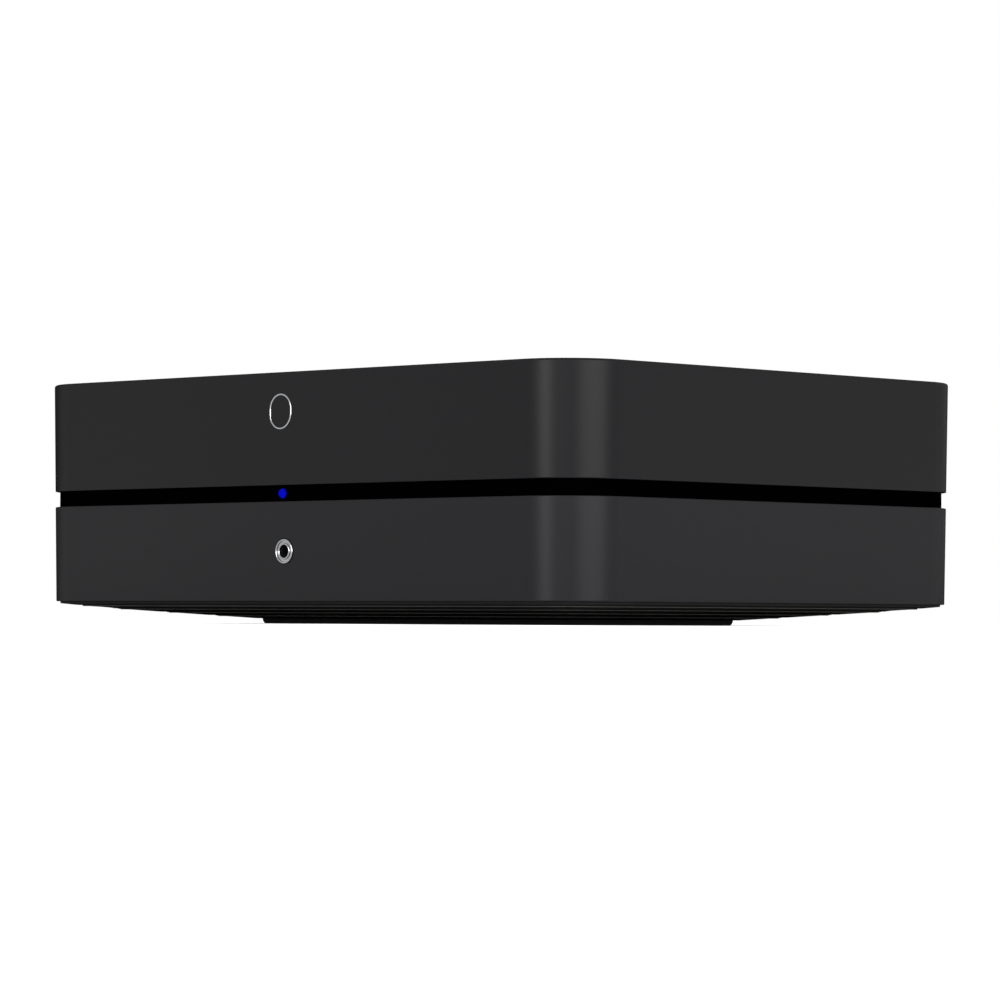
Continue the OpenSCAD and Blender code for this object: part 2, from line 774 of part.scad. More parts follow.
module mid_band() color(band_black) difference() {
  union() {
    sweep_around(hx, hy) band_profile();
    at_bosses() {
      rod(boss_d / 2, lug_z, lug_top);
      translate([0, -boss_d / 2, lug_z]) cube([tongue_r - band_t / 2 - boss_out, boss_d, lug_t]);
    }
    for (x = led_post_x) {
      rod_y(x, lamp_z, led_post_d / 2, band_back_y - root, led_board_y);
      rod_y(x, lamp_z, led_peg_d / 2,
        led_board_y - root, led_board_y + led_board_size[1]);
    }
  }
  at_bosses() rod(hole_r, lug_z - past, lug_top + past);
  rod_y(-led_left, lamp_z, led_r + run_gap, band_front_y - past, band_back_y + past);
}

// Outline of the base at a distance from the case's side: its corners sharpen as it shrinks
module base_plan(i) {
  if (i < corner_r) rounded_rect(body_w - 2 * i, body_d - 2 * i, corner_r - i);
  else square([body_w - 2 * i, body_d - 2 * i], center = true);
}

// Section of the base's slope inside the corner arcs' centres
module slope_section(side) {
  arc_x = side / 2 - corner_r;
  foot_x = side / 2 - foot_inset;
  arc_z = base_z(corner_r);
  polygon([
    [-arc_x, z_lower], [-arc_x, arc_z], [-foot_x, foot_h], [foot_x, foot_h], [arc_x, arc_z], [arc_x, z_lower]
  ]);
}

// The base as one solid: four sloped sides that meet in cones at the corners and in hips towards the foot
module base_block() {
  rim_r = corner_r - rim_in;
  sweep_around(hx, hy) polygon([[0, base_z(corner_r)], [rim_r, rim_z], [rim_r, z_lower], [0, z_lower]]);
  intersection() {
    rotate([90, 0, 0]) linear_extrude(body_d, center = true) slope_section(body_w);
    rotate([90, 0, 90]) linear_extrude(body_w, center = true) slope_section(body_d);
  }
}

module groove_plan(i) {
  difference() {
    base_plan(i);
    base_plan(i + groove_w);
  }
}

module base_grooves() {
  for (k = [0:groove_count - 1]) {
    i = groove_start + k * groove_pitch;
    linear_extrude(base_z(i + groove_w) + groove_depth) groove_plan(i);
    linear_extrude(z_lower + past) intersection() {
      groove_plan(i);
      union() {
        square([slit_l, body_d], center = true);
        square([body_w, slit_side_l], center = true);
      }
    }
  }
}

// Post that carries a board, rooted in the floor above the grooves
module board_post(p, d) {
  floor_z = base_z(edge_inset(p) - d / 2) + groove_depth + root;
  translate([p[0], p[1], 0]) rod(d / 2, floor_z, p[2]);
}

module base_pan() color(base_grey) difference() {
  union() {
    difference() {
      base_block();
      translate([0, 0, base_t]) base_block();
      base_grooves();
    }
    sweep_around(hx, hy)
      translate([face_r(z_lower) - wall_t - fit - lip_t, z_lower - root]) square([lip_t, lip_h + root]);
    at_bosses() rod(base_post_d / 2, rim_z - root, post_top);
    for (p = concat(main_posts, psu_posts)) board_post(p, post_d);
    for (p = jack_posts) board_post(p, jack_post_d);
  }
  at_bosses() {
    rod(hole_r, 0, post_top + past);
    rod(screw_head_d / 2 + head_play, 0, seat_z);
  }
  for (p = concat(main_posts, psu_posts, jack_posts))
    translate([p[0], p[1], 0]) rod(tap_r, p[2] - small_grip - tip_room, p[2] + past);
}

module foot_profile() {
  translate([0, foot_edge_r]) square([foot_r, foot_h - foot_edge_r]);
  square([foot_r - foot_edge_r, foot_h]);
  translate([foot_r - foot_edge_r, foot_edge_r]) circle(foot_edge_r);
}

module foot_pad() color("#101011") {
  foot_hx = body_w / 2 - foot_inset - foot_r;
  foot_hy = body_d / 2 - foot_inset - foot_r;
  sweep_around(foot_hx, foot_hy) intersection() {
    foot_profile();
    square([foot_r, foot_h]);
  }
  translate([-foot_hx, -foot_hy, 0]) cube([2 * foot_hx, 2 * foot_hy, foot_h]);
}

module case_screws() color(steel) {
  at_bosses() translate([0, 0, seat_z]) screw(case_screw_l);
}

// Front

module front_badge() color("#d5d7da") badge_ring(0, badge_depth, badge_proud);

// Profile of the lamp: radius, and height from the band's back; its end is a shallow dome
module lens_profile() {
  band_depth = band_back_y - band_front_y;
  dome_r = (led_r * led_r + led_dome * led_dome) / (2 * led_dome);
  dome_angle = asin(led_r / dome_r);
  steps = 6;
  polygon(concat(
    [[0, -led_rim_t], [led_r + led_rim, -led_rim_t], [led_r + led_rim, 0], [led_r, 0]],
    [for (k = [0:steps]) let (a = dome_angle * (1 - k / steps))
      [dome_r * sin(a), band_depth + led_dome - dome_r * (1 - cos(a))]]
  ));
}

module led_lens() color("#1020d0") {
  translate([-led_left, band_back_y, lamp_z]) rotate([90, 0, 0]) rotate_extrude() lens_profile();
}

module led_board() color(board_green) {
  w = led_board_size[0];
  h = led_board_size[2];
  difference() {
    translate([-w / 2 - led_left, led_board_y, lamp_z - h / 2]) cube(led_board_size);
    for (x = led_post_x)
      rod_y(x, lamp_z, led_peg_d / 2 + run_gap,
        led_board_y - past, led_board_y + led_board_size[1] + past);
  }
  chip_y = band_back_y + led_rim_t + fit;
  translate([-led_r - led_left, chip_y, lamp_z - led_r]) cube([led_d, led_board_y - chip_y + root, led_d]);
}

// Profile of the ring: radius, and height from the wall
module jack_ring_profile() {
  step = (ring_r - jack_bore_r) / 6;
  low = jack_ring_h - jack_lip;
  polygon([
    [jack_barrel_d / 2 + run_gap, 0],
    [ring_r, 0],
    [ring_r, jack_ring_h - jack_groove],
    [ring_r - step, jack_ring_h],
    [ring_r - 2 * step, jack_ring_h],
    [ring_r - 3 * step, jack_ring_h - jack_groove],
    [jack_bore_r + 2 * step, jack_ring_h - jack_groove],
    [jack_bore_r + step, jack_ring_h],
    [jack_bore_r, jack_ring_h - jack_groove / 2],
    [jack_bore_r, low],
    [jack_barrel_d / 2 + run_gap, low]
  ]);
}

module jack_ring() color("#d9dadc") {
  translate([0, ring_y, jack_z]) rotate([90, 0, 0]) rotate_extrude() jack_ring_profile();
}

module headphone_jack() color(chip_black) difference() {
  union() {
    rod_y(0, jack_z, jack_barrel_d / 2, jack_mouth_y, jack_body_y + root);
    translate([-jack_body_size[0] / 2, jack_body_y, jack_board_top]) cube(jack_body_size);
  }
  rod_y(0, jack_z, jack_bore_r, jack_mouth_y - past, jack_mouth_y + jack_bore_l);
}

// Board with holes over its posts
module drilled_board(x0, y0, z0, w, l, posts) {
  difference() {
    translate([x0, y0, z0]) cube([w, l, board_t]);
    for (p = posts) translate([p[0], p[1], 0]) rod(hole_r, z0 - past, z0 + board_t + past);
  }
}

module headphone_board() color(board_green) {
  w = jack_board_size[0];
  drilled_board(-w / 2, jack_board_y, jack_board_top - board_t, w, jack_board_size[1], jack_posts);
}

// Touch strip

module touch_panel() color("#050506") {
  translate([0, touch_y, z_top - touch_t]) linear_extrude(touch_t) rounded_rect(touch_w, touch_d, touch_r);
}

module touch_board() color(board_green) {
  size = [touch_w + 2 * touch_margin, touch_d + 2 * touch_margin, touch_board_t];
  block_at(0, touch_y, touch_under - touch_board_t, size);
}

// Middle line of the flat cable: upright at each socket, with one smooth bend between
function ribbon_point(t) = [
  ribbon_y0 + (touch_y - ribbon_y0) * t * t * (3 - 2 * t),
  ribbon_z0 + (ribbon_z1 - ribbon_z0) * t
];
function ribbon_side(t, s) =
  let (d = ribbon_point(t + 0.001) - ribbon_point(t - 0.001))
  ribbon_point(t) + s * ribbon_t / 2 * [-d[1], d[0]] / norm(d);

module touch_ribbon() color("#d8d2c0") {
  steps = 24;
  translate([-ribbon_left - ribbon_w / 2, 0, 0]) rotate([90, 0, 90]) linear_extrude(ribbon_w) polygon(concat(
    [for (k = [0:steps]) ribbon_side(k / steps, 1)],
    [for (k = [steps:-1:0]) ribbon_side(k / steps, -1)]
  ));
}

module ribbon_sockets() color("#e6e0d0") {
  block_at(-ribbon_left, ribbon_y0, board_top, ribbon_socket_size);
  block_at(-ribbon_left, touch_y, ribbon_z1, ribbon_socket_size);
}

// Large boards and their screws

module main_board() color(board_green) {
  drilled_board(-main_left, board_y0, board_z, main_left + main_right, board_l, main_posts);
}

module psu_board() color("#6b5a2a") {
  drilled_board(psu_left, board_y0, board_z, psu_right - psu_left, board_l, psu_posts);
}

module board_screws() color(steel) {
  for (p = concat(main_posts, psu_posts, jack_posts))
    translate([p[0], p[1], p[2] + board_t]) rotate([180, 0, 0]) screw(board_screw_l);
}

// Rear panel

// Cut-out for a socket that stands on the board
module socket_cut(x, w, h) {
  translate([x - w / 2 - fit, panel_back - past, board_top - fit])
    cube([w + 2 * fit, panel_y - panel_back + 2 * past, h + 2 * fit]);
}

module at_phono() {
  for (k = [-1:1]) translate([-phono_left + k * phono_pitch, 0, 0]) children();
}

module at_panel_screws() {
  for (s = [-1, 1])
    translate([-phono_left + s * phono_pitch / 2, panel_y, board_top + panel_screw_h])
      rotate([90, 0, 0]) children();
}

// Stepped plate: its field fills part of the window, and its flange laps behind the wall
module panel_plate(field_x, flange_x) {
  translate([field_x[0], flange_y - root, window_z0 + fit])
    cube([field_x[1] - field_x[0], panel_y - flange_y + root, window_z1 - window_z0 - 2 * fit]);
  translate([flange_x[0], panel_back, window_z0 - panel_lap])
    cube([flange_x[1] - flange_x[0], panel_flange_t, window_z1 - window_z0 + 2 * panel_lap]);
}

module rear_panel() color("#161618") difference() {
  x0 = seam_x + fit / 2;
  panel_plate([x0, window_w / 2 - fit], [x0, window_w / 2 + panel_lap]);
  socket_cut(mains_x, mains_size[0], mains_size[2]);
  socket_cut(switch_x, switch_size[0], switch_size[2]);
  socket_cut(ethernet_x, ethernet_size[0], ethernet_size[2]);
  socket_cut(usb_x, usb_size[0], usb_size[2]);
  for (x = optical_left) socket_cut(-x, optical_size[0], optical_size[2]);
  rod_y(setup_x, setup_z, setup_d / 2 + fit, panel_back - past, panel_y + past);
}

module audio_panel() color("#161618") difference() {
  x1 = seam_x - fit / 2;
  panel_plate([fit - window_w / 2, x1], [-window_w / 2 - panel_lap, x1]);
  at_phono() rod_y(0, phono_z, phono_collar_d / 2 + fit, panel_back - past, panel_y + past);
  at_panel_screws() rod(hole_r, -past, panel_y - panel_back + past);
}

module panel_screws() color(steel) {
  at_panel_screws() screw(panel_y - panel_back + small_grip);
}

// A socket's body on the board, with its mouth just outside the panel
module socket_body(x, size) {
  translate([x - size[0] / 2, mouth_y - size[1], board_top]) cube(size);
}

module mains_inlet() color(chip_black) difference() {
  mid_z = board_top + mains_size[2] / 2;
  socket_body(mains_x, mains_size);
  for (s = [-1, 1]) {
    x = mains_x + s * mains_pitch / 2;
    rod_y(x, mid_z, mains_lobe_d / 2, mouth_y - mains_depth, mouth_y + past);
    rod_y(x, mid_z, mains_pin_d / 2 + run_gap, mouth_y - mains_size[1] - past, mouth_y);
  }
  translate([mains_x - mains_pitch / 2, mouth_y - mains_depth, mid_z - mains_waist / 2])
    cube([mains_pitch, mains_depth + past, mains_waist]);
}

module mains_pins() color("#c9b27a") {
  for (s = [-1, 1])
    rod_y(mains_x + s * mains_pitch / 2, board_top + mains_size[2] / 2, mains_pin_d / 2,
      mouth_y - mains_size[1] - mains_pin_tail, mouth_y - mains_pin_in);
}

module switch_housing() color(chip_black) difference() {
  w = switch_size[0];
  h = switch_size[2];
  face_y = panel_y + switch_bezel_t;
  union() {
    translate([switch_x - w / 2, face_y - switch_size[1], board_top]) cube(switch_size);
    translate([switch_x - w / 2 - switch_bezel, panel_y, board_top - switch_bezel])
      cube([w + 2 * switch_bezel, switch_bezel_t, h + 2 * switch_bezel]);
  }
  translate([switch_x - w / 2 + switch_wall, face_y - switch_depth, board_top + switch_wall])
    cube([w - 2 * switch_wall, switch_depth + past, h - 2 * switch_wall]);
  rod_x(switch_x, rocker_y, switch_z, rocker_pin_d / 2 + run_gap, w + 2 * past);
}

// Side view of the rocker about its pivot: out of the panel, up
module rocker_profile() {
  end = rocker_h / 2;
  dish = rocker_pivot_in + rocker_rise[0];
  crest = rocker_pivot_in + rocker_rise[1];
  polygon([
    [dish, 0],
    [crest, end - rocker_land],
    [rocker_pivot_in, end],
    [-rocker_heel, end / 2],
    [-rocker_heel, -end / 2],
    [rocker_pivot_in, -end],
    [crest, rocker_land - end]
  ]);
}

module power_rocker() color("#232326") {
  translate([switch_x, rocker_y, switch_z]) rotate([-rocker_tilt, 0, 0]) {
    rotate([90, 0, 90]) linear_extrude(rocker_w, center = true) rocker_profile();
    rod_x(0, 0, 0, rocker_pin_d / 2, switch_size[0] - 2 * side_gap);
  }
}

module ethernet_jack() color("#bfc1c4") difference() {
  socket_body(ethernet_x, ethernet_size);
  translate([ethernet_x, mouth_y - ethernet_hollow[1], board_top + ethernet_floor]) {
    translate([-ethernet_hollow[0] / 2, 0, 0])
      cube([ethernet_hollow[0], ethernet_hollow[1] + past, ethernet_hollow[2]]);
    translate([-ethernet_notch[0] / 2, 0, ethernet_hollow[2] - root])
      cube([ethernet_notch[0], ethernet_hollow[1] + past, ethernet_notch[1] + root]);
  }
}

module setup_button() color("#2a2a2d") {
  rod_y(setup_x, setup_z, setup_d / 2, setup_stop_y - root, panel_y + setup_proud);
  rod_y(setup_x, setup_z, setup_stop_d / 2, setup_stop_y - setup_stop_t, setup_stop_y);
  rod_y(setup_x, setup_z, setup_stem_d / 2, setup_switch_y - setup_stem_in, setup_stop_y - root);
}

module setup_switch() color(steel) difference() {
  block_at(setup_x, setup_switch_y - setup_switch_size[1] / 2, board_top, setup_switch_size);
  rod_y(setup_x, setup_z, setup_stem_d / 2 + run_gap,
    setup_switch_y - setup_stem_in - setup_travel - fit, setup_switch_y + past);
}

module usb_shell() color("#c6c8ca") difference() {
  socket_body(usb_x, usb_size);
  translate([usb_x - usb_size[0] / 2 + usb_sheet, mouth_y - usb_size[1] + usb_sheet, board_top + usb_sheet])
    cube([usb_size[0] - 2 * usb_sheet, usb_size[1], usb_size[2] - 2 * usb_sheet]);
}

module usb_tongue() color("#e9e9e6") {
  in = usb_sheet + run_gap;
  back = mouth_y - usb_size[1] + in;
  translate([usb_x - usb_size[0] / 2 + in, back, board_top + in])
    cube([usb_size[0] - 2 * in, usb_block_d, usb_size[2] - 2 * in]);
  translate([usb_x - usb_tongue_size[0] / 2, back, board_top + usb_size[2] / 2])
    cube([usb_tongue_size[0], usb_block_d + usb_tongue_size[1], usb_tongue_size[2]]);
}

module optical_socket(x) {
  difference() {
    socket_body(x, optical_size);
    translate([x - optical_hollow[0] / 2, mouth_y - optical_hollow[1], board_top + optical_floor])
      cube([optical_hollow[0], optical_hollow[1] + past, optical_hollow[2]]);
    rod_x(x, shutter_y, shutter_z, shutter_pin_d / 2 + run_gap, optical_size[0] + 2 * past);
  }
}

module optical_shutter(x) {
  rod_x(x, shutter_y, shutter_z, shutter_barrel_d / 2, shutter_w);
  rod_x(x, shutter_y, shutter_z, shutter_pin_d / 2, optical_hollow[0] + 2 * shutter_pin_l);
  translate([x - shutter_w / 2, shutter_y - shutter_t / 2, shutter_z - shutter_l])
    cube([shutter_w, shutter_t, shutter_l]);
}

module optical_out_socket() color(chip_black) optical_socket(-optical_left[0]);
module optical_out_shutter() color("#3a3a3e") optical_shutter(-optical_left[0]);
module optical_in_socket() color(chip_black) optical_socket(-optical_left[1]);
module optical_in_shutter() color("#3a3a3e") optical_shutter(-optical_left[1]);

module rca_housing() color(chip_black) difference() {
  w = 2 * phono_pitch + 2 * phono_margin;
  block_at(-phono_left, panel_back - phono_housing_d / 2, board_top, [w, phono_housing_d, phono_housing_h]);
  at_panel_screws() rod(tap_r, panel_y - panel_back - past, panel_y - panel_back + small_grip + tip_room);
}

module rca_barrels() color("#cfc08a") at_phono() difference() {
  union() {
    rod_y(0, phono_z, phono_r, panel_back, panel_y + phono_out);
    rod_y(0, phono_z, phono_collar_d / 2, panel_back, panel_y + phono_collar_proud);
  }
  rod_y(0, phono_z, phono_r - phono_wall, panel_back - past, panel_y + phono_out + past);
}

module phono_insert(k) {
  tip_y = panel_y + phono_out - phono_insert_in;
  translate([-phono_left + k * phono_pitch, 0, 0]) difference() {
    rod_y(0, phono_z, phono_insert_r, panel_back, tip_y);
    rod_y(0, phono_z, phono_bore_d / 2, panel_back - past, tip_y + past);
  }
}

module line_out_left_insert() color("#e8e8e6") phono_insert(-1);
module line_out_right_insert() color("#b3231f") phono_insert(0);
module sub_out_insert() color("#4b2f7a") phono_insert(1);

// Streaming and sound parts

module processor() color(chip_black) block_at(processor_x, processor_y, board_top, processor_size);

module processor_heatsink() color("#3b3d41") {
  base_z0 = board_top + processor_size[2];
  fin_pitch = (sink_w - sink_fin_t) / (sink_fins - 1);
  block_at(processor_x, processor_y, base_z0, [sink_w, sink_w, sink_plate_t]);
  for (k = [0:sink_fins - 1])
    block_at(processor_x - (sink_w - sink_fin_t) / 2 + k * fin_pitch, processor_y, base_z0,
      [sink_fin_t, sink_w, sink_h]);
}

module memory_chips() color(chip_black) {
  for (s = [-1, 1]) block_at(-memory_left, processor_y + s * memory_pitch / 2, board_top, memory_size);
}

module wifi_module() color("#a9abae") block_at(-wifi_left, wifi_y, board_top, wifi_size);

// Aerial plate on a leaning wall: its outer face lies on the plane x = 0
module aerial_plate() {
  rotate([0, -draft, 0]) translate([0, -aerial_size[0] / 2, -aerial_size[2] / 2])
    cube([aerial_size[1], aerial_size[0], aerial_size[2]]);
}

module antenna_side() color("#7a4a22") {
  translate([wall_t + seat_gap - side_x(aerial_z), wifi_y, aerial_z]) aerial_plate();
}

module antenna_rear() color("#7a4a22") {
  translate([-aerial_left, rear_y(aerial_z) - wall_t - seat_gap, aerial_z]) rotate(-90) aerial_plate();
}

// Lead that rises, bends once and runs level along +X
module aerial_lead(rise, run) {
  rod(lead_d / 2, 0, rise - lead_bend);
  translate([lead_bend, 0, rise - lead_bend]) rotate([90, 0, 0]) rotate(90)
    rotate_extrude(angle = 90) translate([lead_bend, 0]) circle(d = lead_d);
  translate([lead_bend, 0, rise]) rotate([0, 90, 0]) cylinder(d = lead_d, h = run - lead_bend);
}

module antenna_leads() color(chip_black) {
  lead_z = board_top + wifi_size[2];
  rise = aerial_z - lead_z;
  plate_gap = wall_t + aerial_size[1] + 3 * seat_gap;
  translate([-wifi_left, wifi_y, lead_z])
    rotate(180) aerial_lead(rise, side_x(aerial_z) - wifi_left - plate_gap);
  translate([-aerial_left, wifi_y + wifi_size[1] / 4, lead_z])
    rotate(90) aerial_lead(rise, rear_y(aerial_z) - wifi_y - wifi_size[1] / 4 - plate_gap);
}

module audio_capacitors() color("#2f4f7a") {
  first = -phono_left - (cap_count - 1) / 2 * cap_pitch;
  for (k = [0:cap_count - 1])
    translate([first + k * cap_pitch, cap_y, 0]) rod(cap_d / 2, board_top, board_top + cap_h);
}

module board_inductors() color("#55565a") {
  for (p = [[0, 1], [0, 0], [-1, 0], [-2, 0]])
    block_at(
      main_right - inductor_place[0] + p[0] * inductor_pitch,
      board_y0 + inductor_place[1] + p[1] * inductor_pitch,
      board_top,
      [inductor_w, inductor_w, inductor_h]
    );
}

// Power supply parts

module mains_filter() color("#8d7a3a") {
  block_at(psu_right - psu_margin - filter_size[0] / 2, board_y1 - filter_back, board_top, filter_size);
}

module mains_fuse() color("#d0d2d4") {
  x0 = psu_left + psu_margin;
  clip_w = fuse_d + 2 * clip_t;
  for (x = [x0 + clip_l / 2, x0 + fuse_l - clip_l / 2])
    block_at(x, fuse_y, board_top, [clip_l, clip_w, clip_w]);
  rod_x(x0 + fuse_l / 2, fuse_y, board_top + clip_w / 2, fuse_d / 2, fuse_l - clip_l);
}

module bulk_capacitor() color("#1d2f52") {
  translate([psu_left + psu_margin + bulk_d / 2, board_y1 - bulk_back, 0])
    rod(bulk_d / 2, board_top, board_top + bulk_h);
}

module transformer_core() color("#3c3a38") difference() {
  window = [(core_size[0] - core_leg) / 2 - core_yoke, core_size[1] + 2 * past, core_size[2] - 2 * core_yoke];
  block_at(psu_mid, core_y, board_top, core_size);
  for (s = [-1, 1])
    block_at(psu_mid + s * (core_leg + window[0]) / 2, core_y, board_top + core_yoke, window);
}

module transformer_winding() color("#9a5a24") {
  half_w = core_size[0] / 2 - core_yoke - side_gap;
  half_d = core_size[1] / 2 + winding_out;
  h = core_size[2] - 2 * core_yoke - 2 * side_gap;
  translate([psu_mid, core_y, board_top + core_yoke + side_gap]) linear_extrude(h) difference() {
    rounded_rect(2 * half_w, 2 * half_d, winding_out);
    square([core_leg + 2 * side_gap, core_size[1] + 2 * side_gap], center = true);
  }
}

module output_capacitors() color("#1d2f52") {
  for (j = [0, 1], k = [-0.5, 0.5])
    translate([psu_left + output_left + j * output_pitch[0], board_y1 - output_back + k * output_pitch[1], 0])
      rod(output_d / 2, board_top, board_top + output_h);
}

module psu_heatsink() color("#8f9195") {
  translate([psu_sink_x, psu_sink_y, board_top]) cube([psu_sink_t, psu_sink_l, psu_sink_h]);
}

module power_transistors() color(chip_black) {
  for (k = [1, 3])
    block_at(psu_sink_x - transistor_size[1] / 2, psu_sink_y + k * psu_sink_l / 4, board_top,
      [transistor_size[1], transistor_size[0], transistor_size[2]]);
}

// Arched wires from the supply to the main board
module supply_wires() color("#b02a24") {
  span = psu_left - main_right + 2 * wire_inset;
  for (k = [0:wire_count - 1])
    translate([(psu_left + main_right) / 2, board_y0 + wire_front + k * wire_pitch, board_top])
      rotate([90, 0, 0]) rotate_extrude(angle = 180) translate([span / 2, 0]) circle(d = wire_d);
}

upper_shell();
lower_shell();
mid_band();
base_pan();
foot_pad();
case_screws();
front_badge();
led_lens();
led_board();
jack_ring();
headphone_jack();
headphone_board();
touch_panel();
touch_board();
touch_ribbon();
ribbon_sockets();
main_board();
psu_board();
board_screws();
rear_panel();
audio_panel();
panel_screws();
mains_inlet();
mains_pins();
switch_housing();
power_rocker();
ethernet_jack();
setup_button();
setup_switch();
usb_shell();
usb_tongue();
optical_out_socket();
optical_out_shutter();
optical_in_socket();
optical_in_shutter();
rca_housing();
rca_barrels();
line_out_left_insert();
line_out_right_insert();
sub_out_insert();
processor();
processor_heatsink();
memory_chips();
wifi_module();
antenna_side();
antenna_rear();
antenna_leads();
audio_capacitors();
board_inductors();
mains_filter();
mains_fuse();
bulk_capacitor();
transformer_core();
transformer_winding();
output_capacitors();
psu_heatsink();
power_transistors();
supply_wires();
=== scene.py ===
"""Looks of a network music streamer: two satin shells on a black band, its sockets and a plain studio."""

import json
import math
from functools import partial

import bmesh
import bpy
from mathutils import Euler, Matrix, Vector

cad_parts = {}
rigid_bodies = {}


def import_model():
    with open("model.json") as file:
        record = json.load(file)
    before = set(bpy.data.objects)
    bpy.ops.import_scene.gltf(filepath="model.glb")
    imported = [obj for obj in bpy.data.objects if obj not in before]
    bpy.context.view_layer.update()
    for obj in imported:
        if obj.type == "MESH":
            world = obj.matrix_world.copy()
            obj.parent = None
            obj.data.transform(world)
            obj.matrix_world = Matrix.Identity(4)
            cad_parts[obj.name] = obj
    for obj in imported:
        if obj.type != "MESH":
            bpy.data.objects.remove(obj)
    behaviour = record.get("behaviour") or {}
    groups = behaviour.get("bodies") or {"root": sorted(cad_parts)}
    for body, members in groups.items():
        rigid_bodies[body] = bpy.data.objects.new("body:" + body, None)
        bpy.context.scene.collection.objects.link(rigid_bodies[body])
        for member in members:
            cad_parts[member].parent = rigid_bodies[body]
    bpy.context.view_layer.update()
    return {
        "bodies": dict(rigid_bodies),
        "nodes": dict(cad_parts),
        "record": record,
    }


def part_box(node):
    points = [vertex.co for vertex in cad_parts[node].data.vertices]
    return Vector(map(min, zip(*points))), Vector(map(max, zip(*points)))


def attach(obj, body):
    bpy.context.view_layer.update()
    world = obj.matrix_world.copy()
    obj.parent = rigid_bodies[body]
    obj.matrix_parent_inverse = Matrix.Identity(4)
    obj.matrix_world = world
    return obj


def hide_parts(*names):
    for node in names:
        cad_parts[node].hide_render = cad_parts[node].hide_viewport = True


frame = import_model()

bl_info = {
    "name": "Music Streamer Looks",
    "version": (1, 0, 0),
    "blender": (4, 5, 0),
    "location": "View3D > Sidebar > Streamer",
    "description": "Makes the visible pieces, finishes and studio of a network music streamer",
    "category": "Object",
}

MM = 0.001
FINISH_PREFIX = "streamer_"

# Slot of each CAD node, and the slots that the record lists
SLOTS = {entry["node"]: entry["material_slot"] for entry in frame["record"]["subparts"]}

# CAD nodes on the back that are shown with rounded edges
REAR_NODES = (
    "rear_panel", "audio_panel", "mains_inlet", "switch_housing", "power_rocker", "ethernet_jack",
    "setup_button", "usb_shell", "usb_tongue", "optical_out_socket", "optical_out_shutter",
    "optical_in_socket", "optical_in_shutter", "rca_barrels", "line_out_left_insert",
    "line_out_right_insert", "sub_out_insert",
)

# Meshes: distances under which points are one, angles in degrees, and counts of faces
SAME_POINT = 1e-7
DOUBLE = 1e-6
FLAT_ANGLE = 0.5
SHARP_ANGLE = 40
SMALL_SHARP_ANGLE = 30
BEVEL_STEPS = 3
DOME_STEPS = 8
CURVE_CORNER_STEPS = 10
LARGE_FACE_WEIGHT = 90

# Faces of the base whose normal rises less than this are its upright rim, which is painted dark as the shade
# in the gap under the lower shell
UPRIGHT = 0.7

# Share of the case's half depth to which the lamp's hole is cut, well behind the band's front
LAMP_HOLE_REACH = 0.2

# Share of the ribs' height that is rounded
RIB_EDGE = 0.3

# Screws: faces round their parts, and shares of the head's width and height
HEAD_SIDES = 32
SHANK_SIDES = 24
KEY_SIDES = 6
COLLAR_WIDTH = 0.86
COLLAR_HEIGHT = 1.12
KEY_LENGTH = 1.4
KEY_MIDDLE = 1.2
# Shares of the head's height between which the key sockets are painted black, as painted shade
KEY_SHADE_LOW = 0.1
KEY_SHADE_HIGH = 0.99

# Share of the switch's height from its middle to each mark, and of the USB tongue's length under its contacts
MARK_PLACE = 0.27
USB_CONTACT = 0.8

# How matt the satin paint gets, from a view straight on, at 0, to one along the surface, at 1
SATIN_FADE = ((0.34, 0), (0.46, 0.3), (0.55, 0.6), (0.66, 0.86), (0.82, 0.97))

# Camera: width of the image in pixels, width of the sensor in millimetres, and where the view starts
IMAGE_WIDTH = 1000
SENSOR_WIDTH = 36.0
VIEW_START = 0.01

# Soft boxes: name, degrees from the front towards the right, and width; then what they share
BOXES = (("front", 5, 0.42), ("near", 35, 0.42), ("right", 80, 1.3), ("back", 200, 1.2))
BOX_DISTANCE = 1.6
BOX_HEIGHT = 0.8
BOX_LIFT = 0.02

# Floor: half its side, and the reach over which it turns to plain white
FLOOR_HALF = 6.0
FLOOR_NEAR = 0.1
FLOOR_FAR = 0.4


# Properties

def length(name, description, millimetres):
    """A size in metres, written in millimetres."""
    return bpy.props.FloatProperty(
        name=name, description=description, default=millimetres * MM, min=0, precision=5, unit="LENGTH"
    )


def angle(name, description, degrees):
    return bpy.props.FloatProperty(
        name=name, description=description, default=math.radians(degrees), unit="ROTATION"
    )


def count(name, description, number):
    return bpy.props.IntProperty(name=name, description=description, default=number, min=1)


def amount(name, description, number):
    return bpy.props.FloatProperty(name=name, description=description, default=number, min=0)


def colour(name, description, red, green, blue):
    return bpy.props.FloatVectorProperty(
        name=name, description=description, default=(red, green, blue, 1),
        size=4, min=0, max=1, subtype="COLOR",
    )


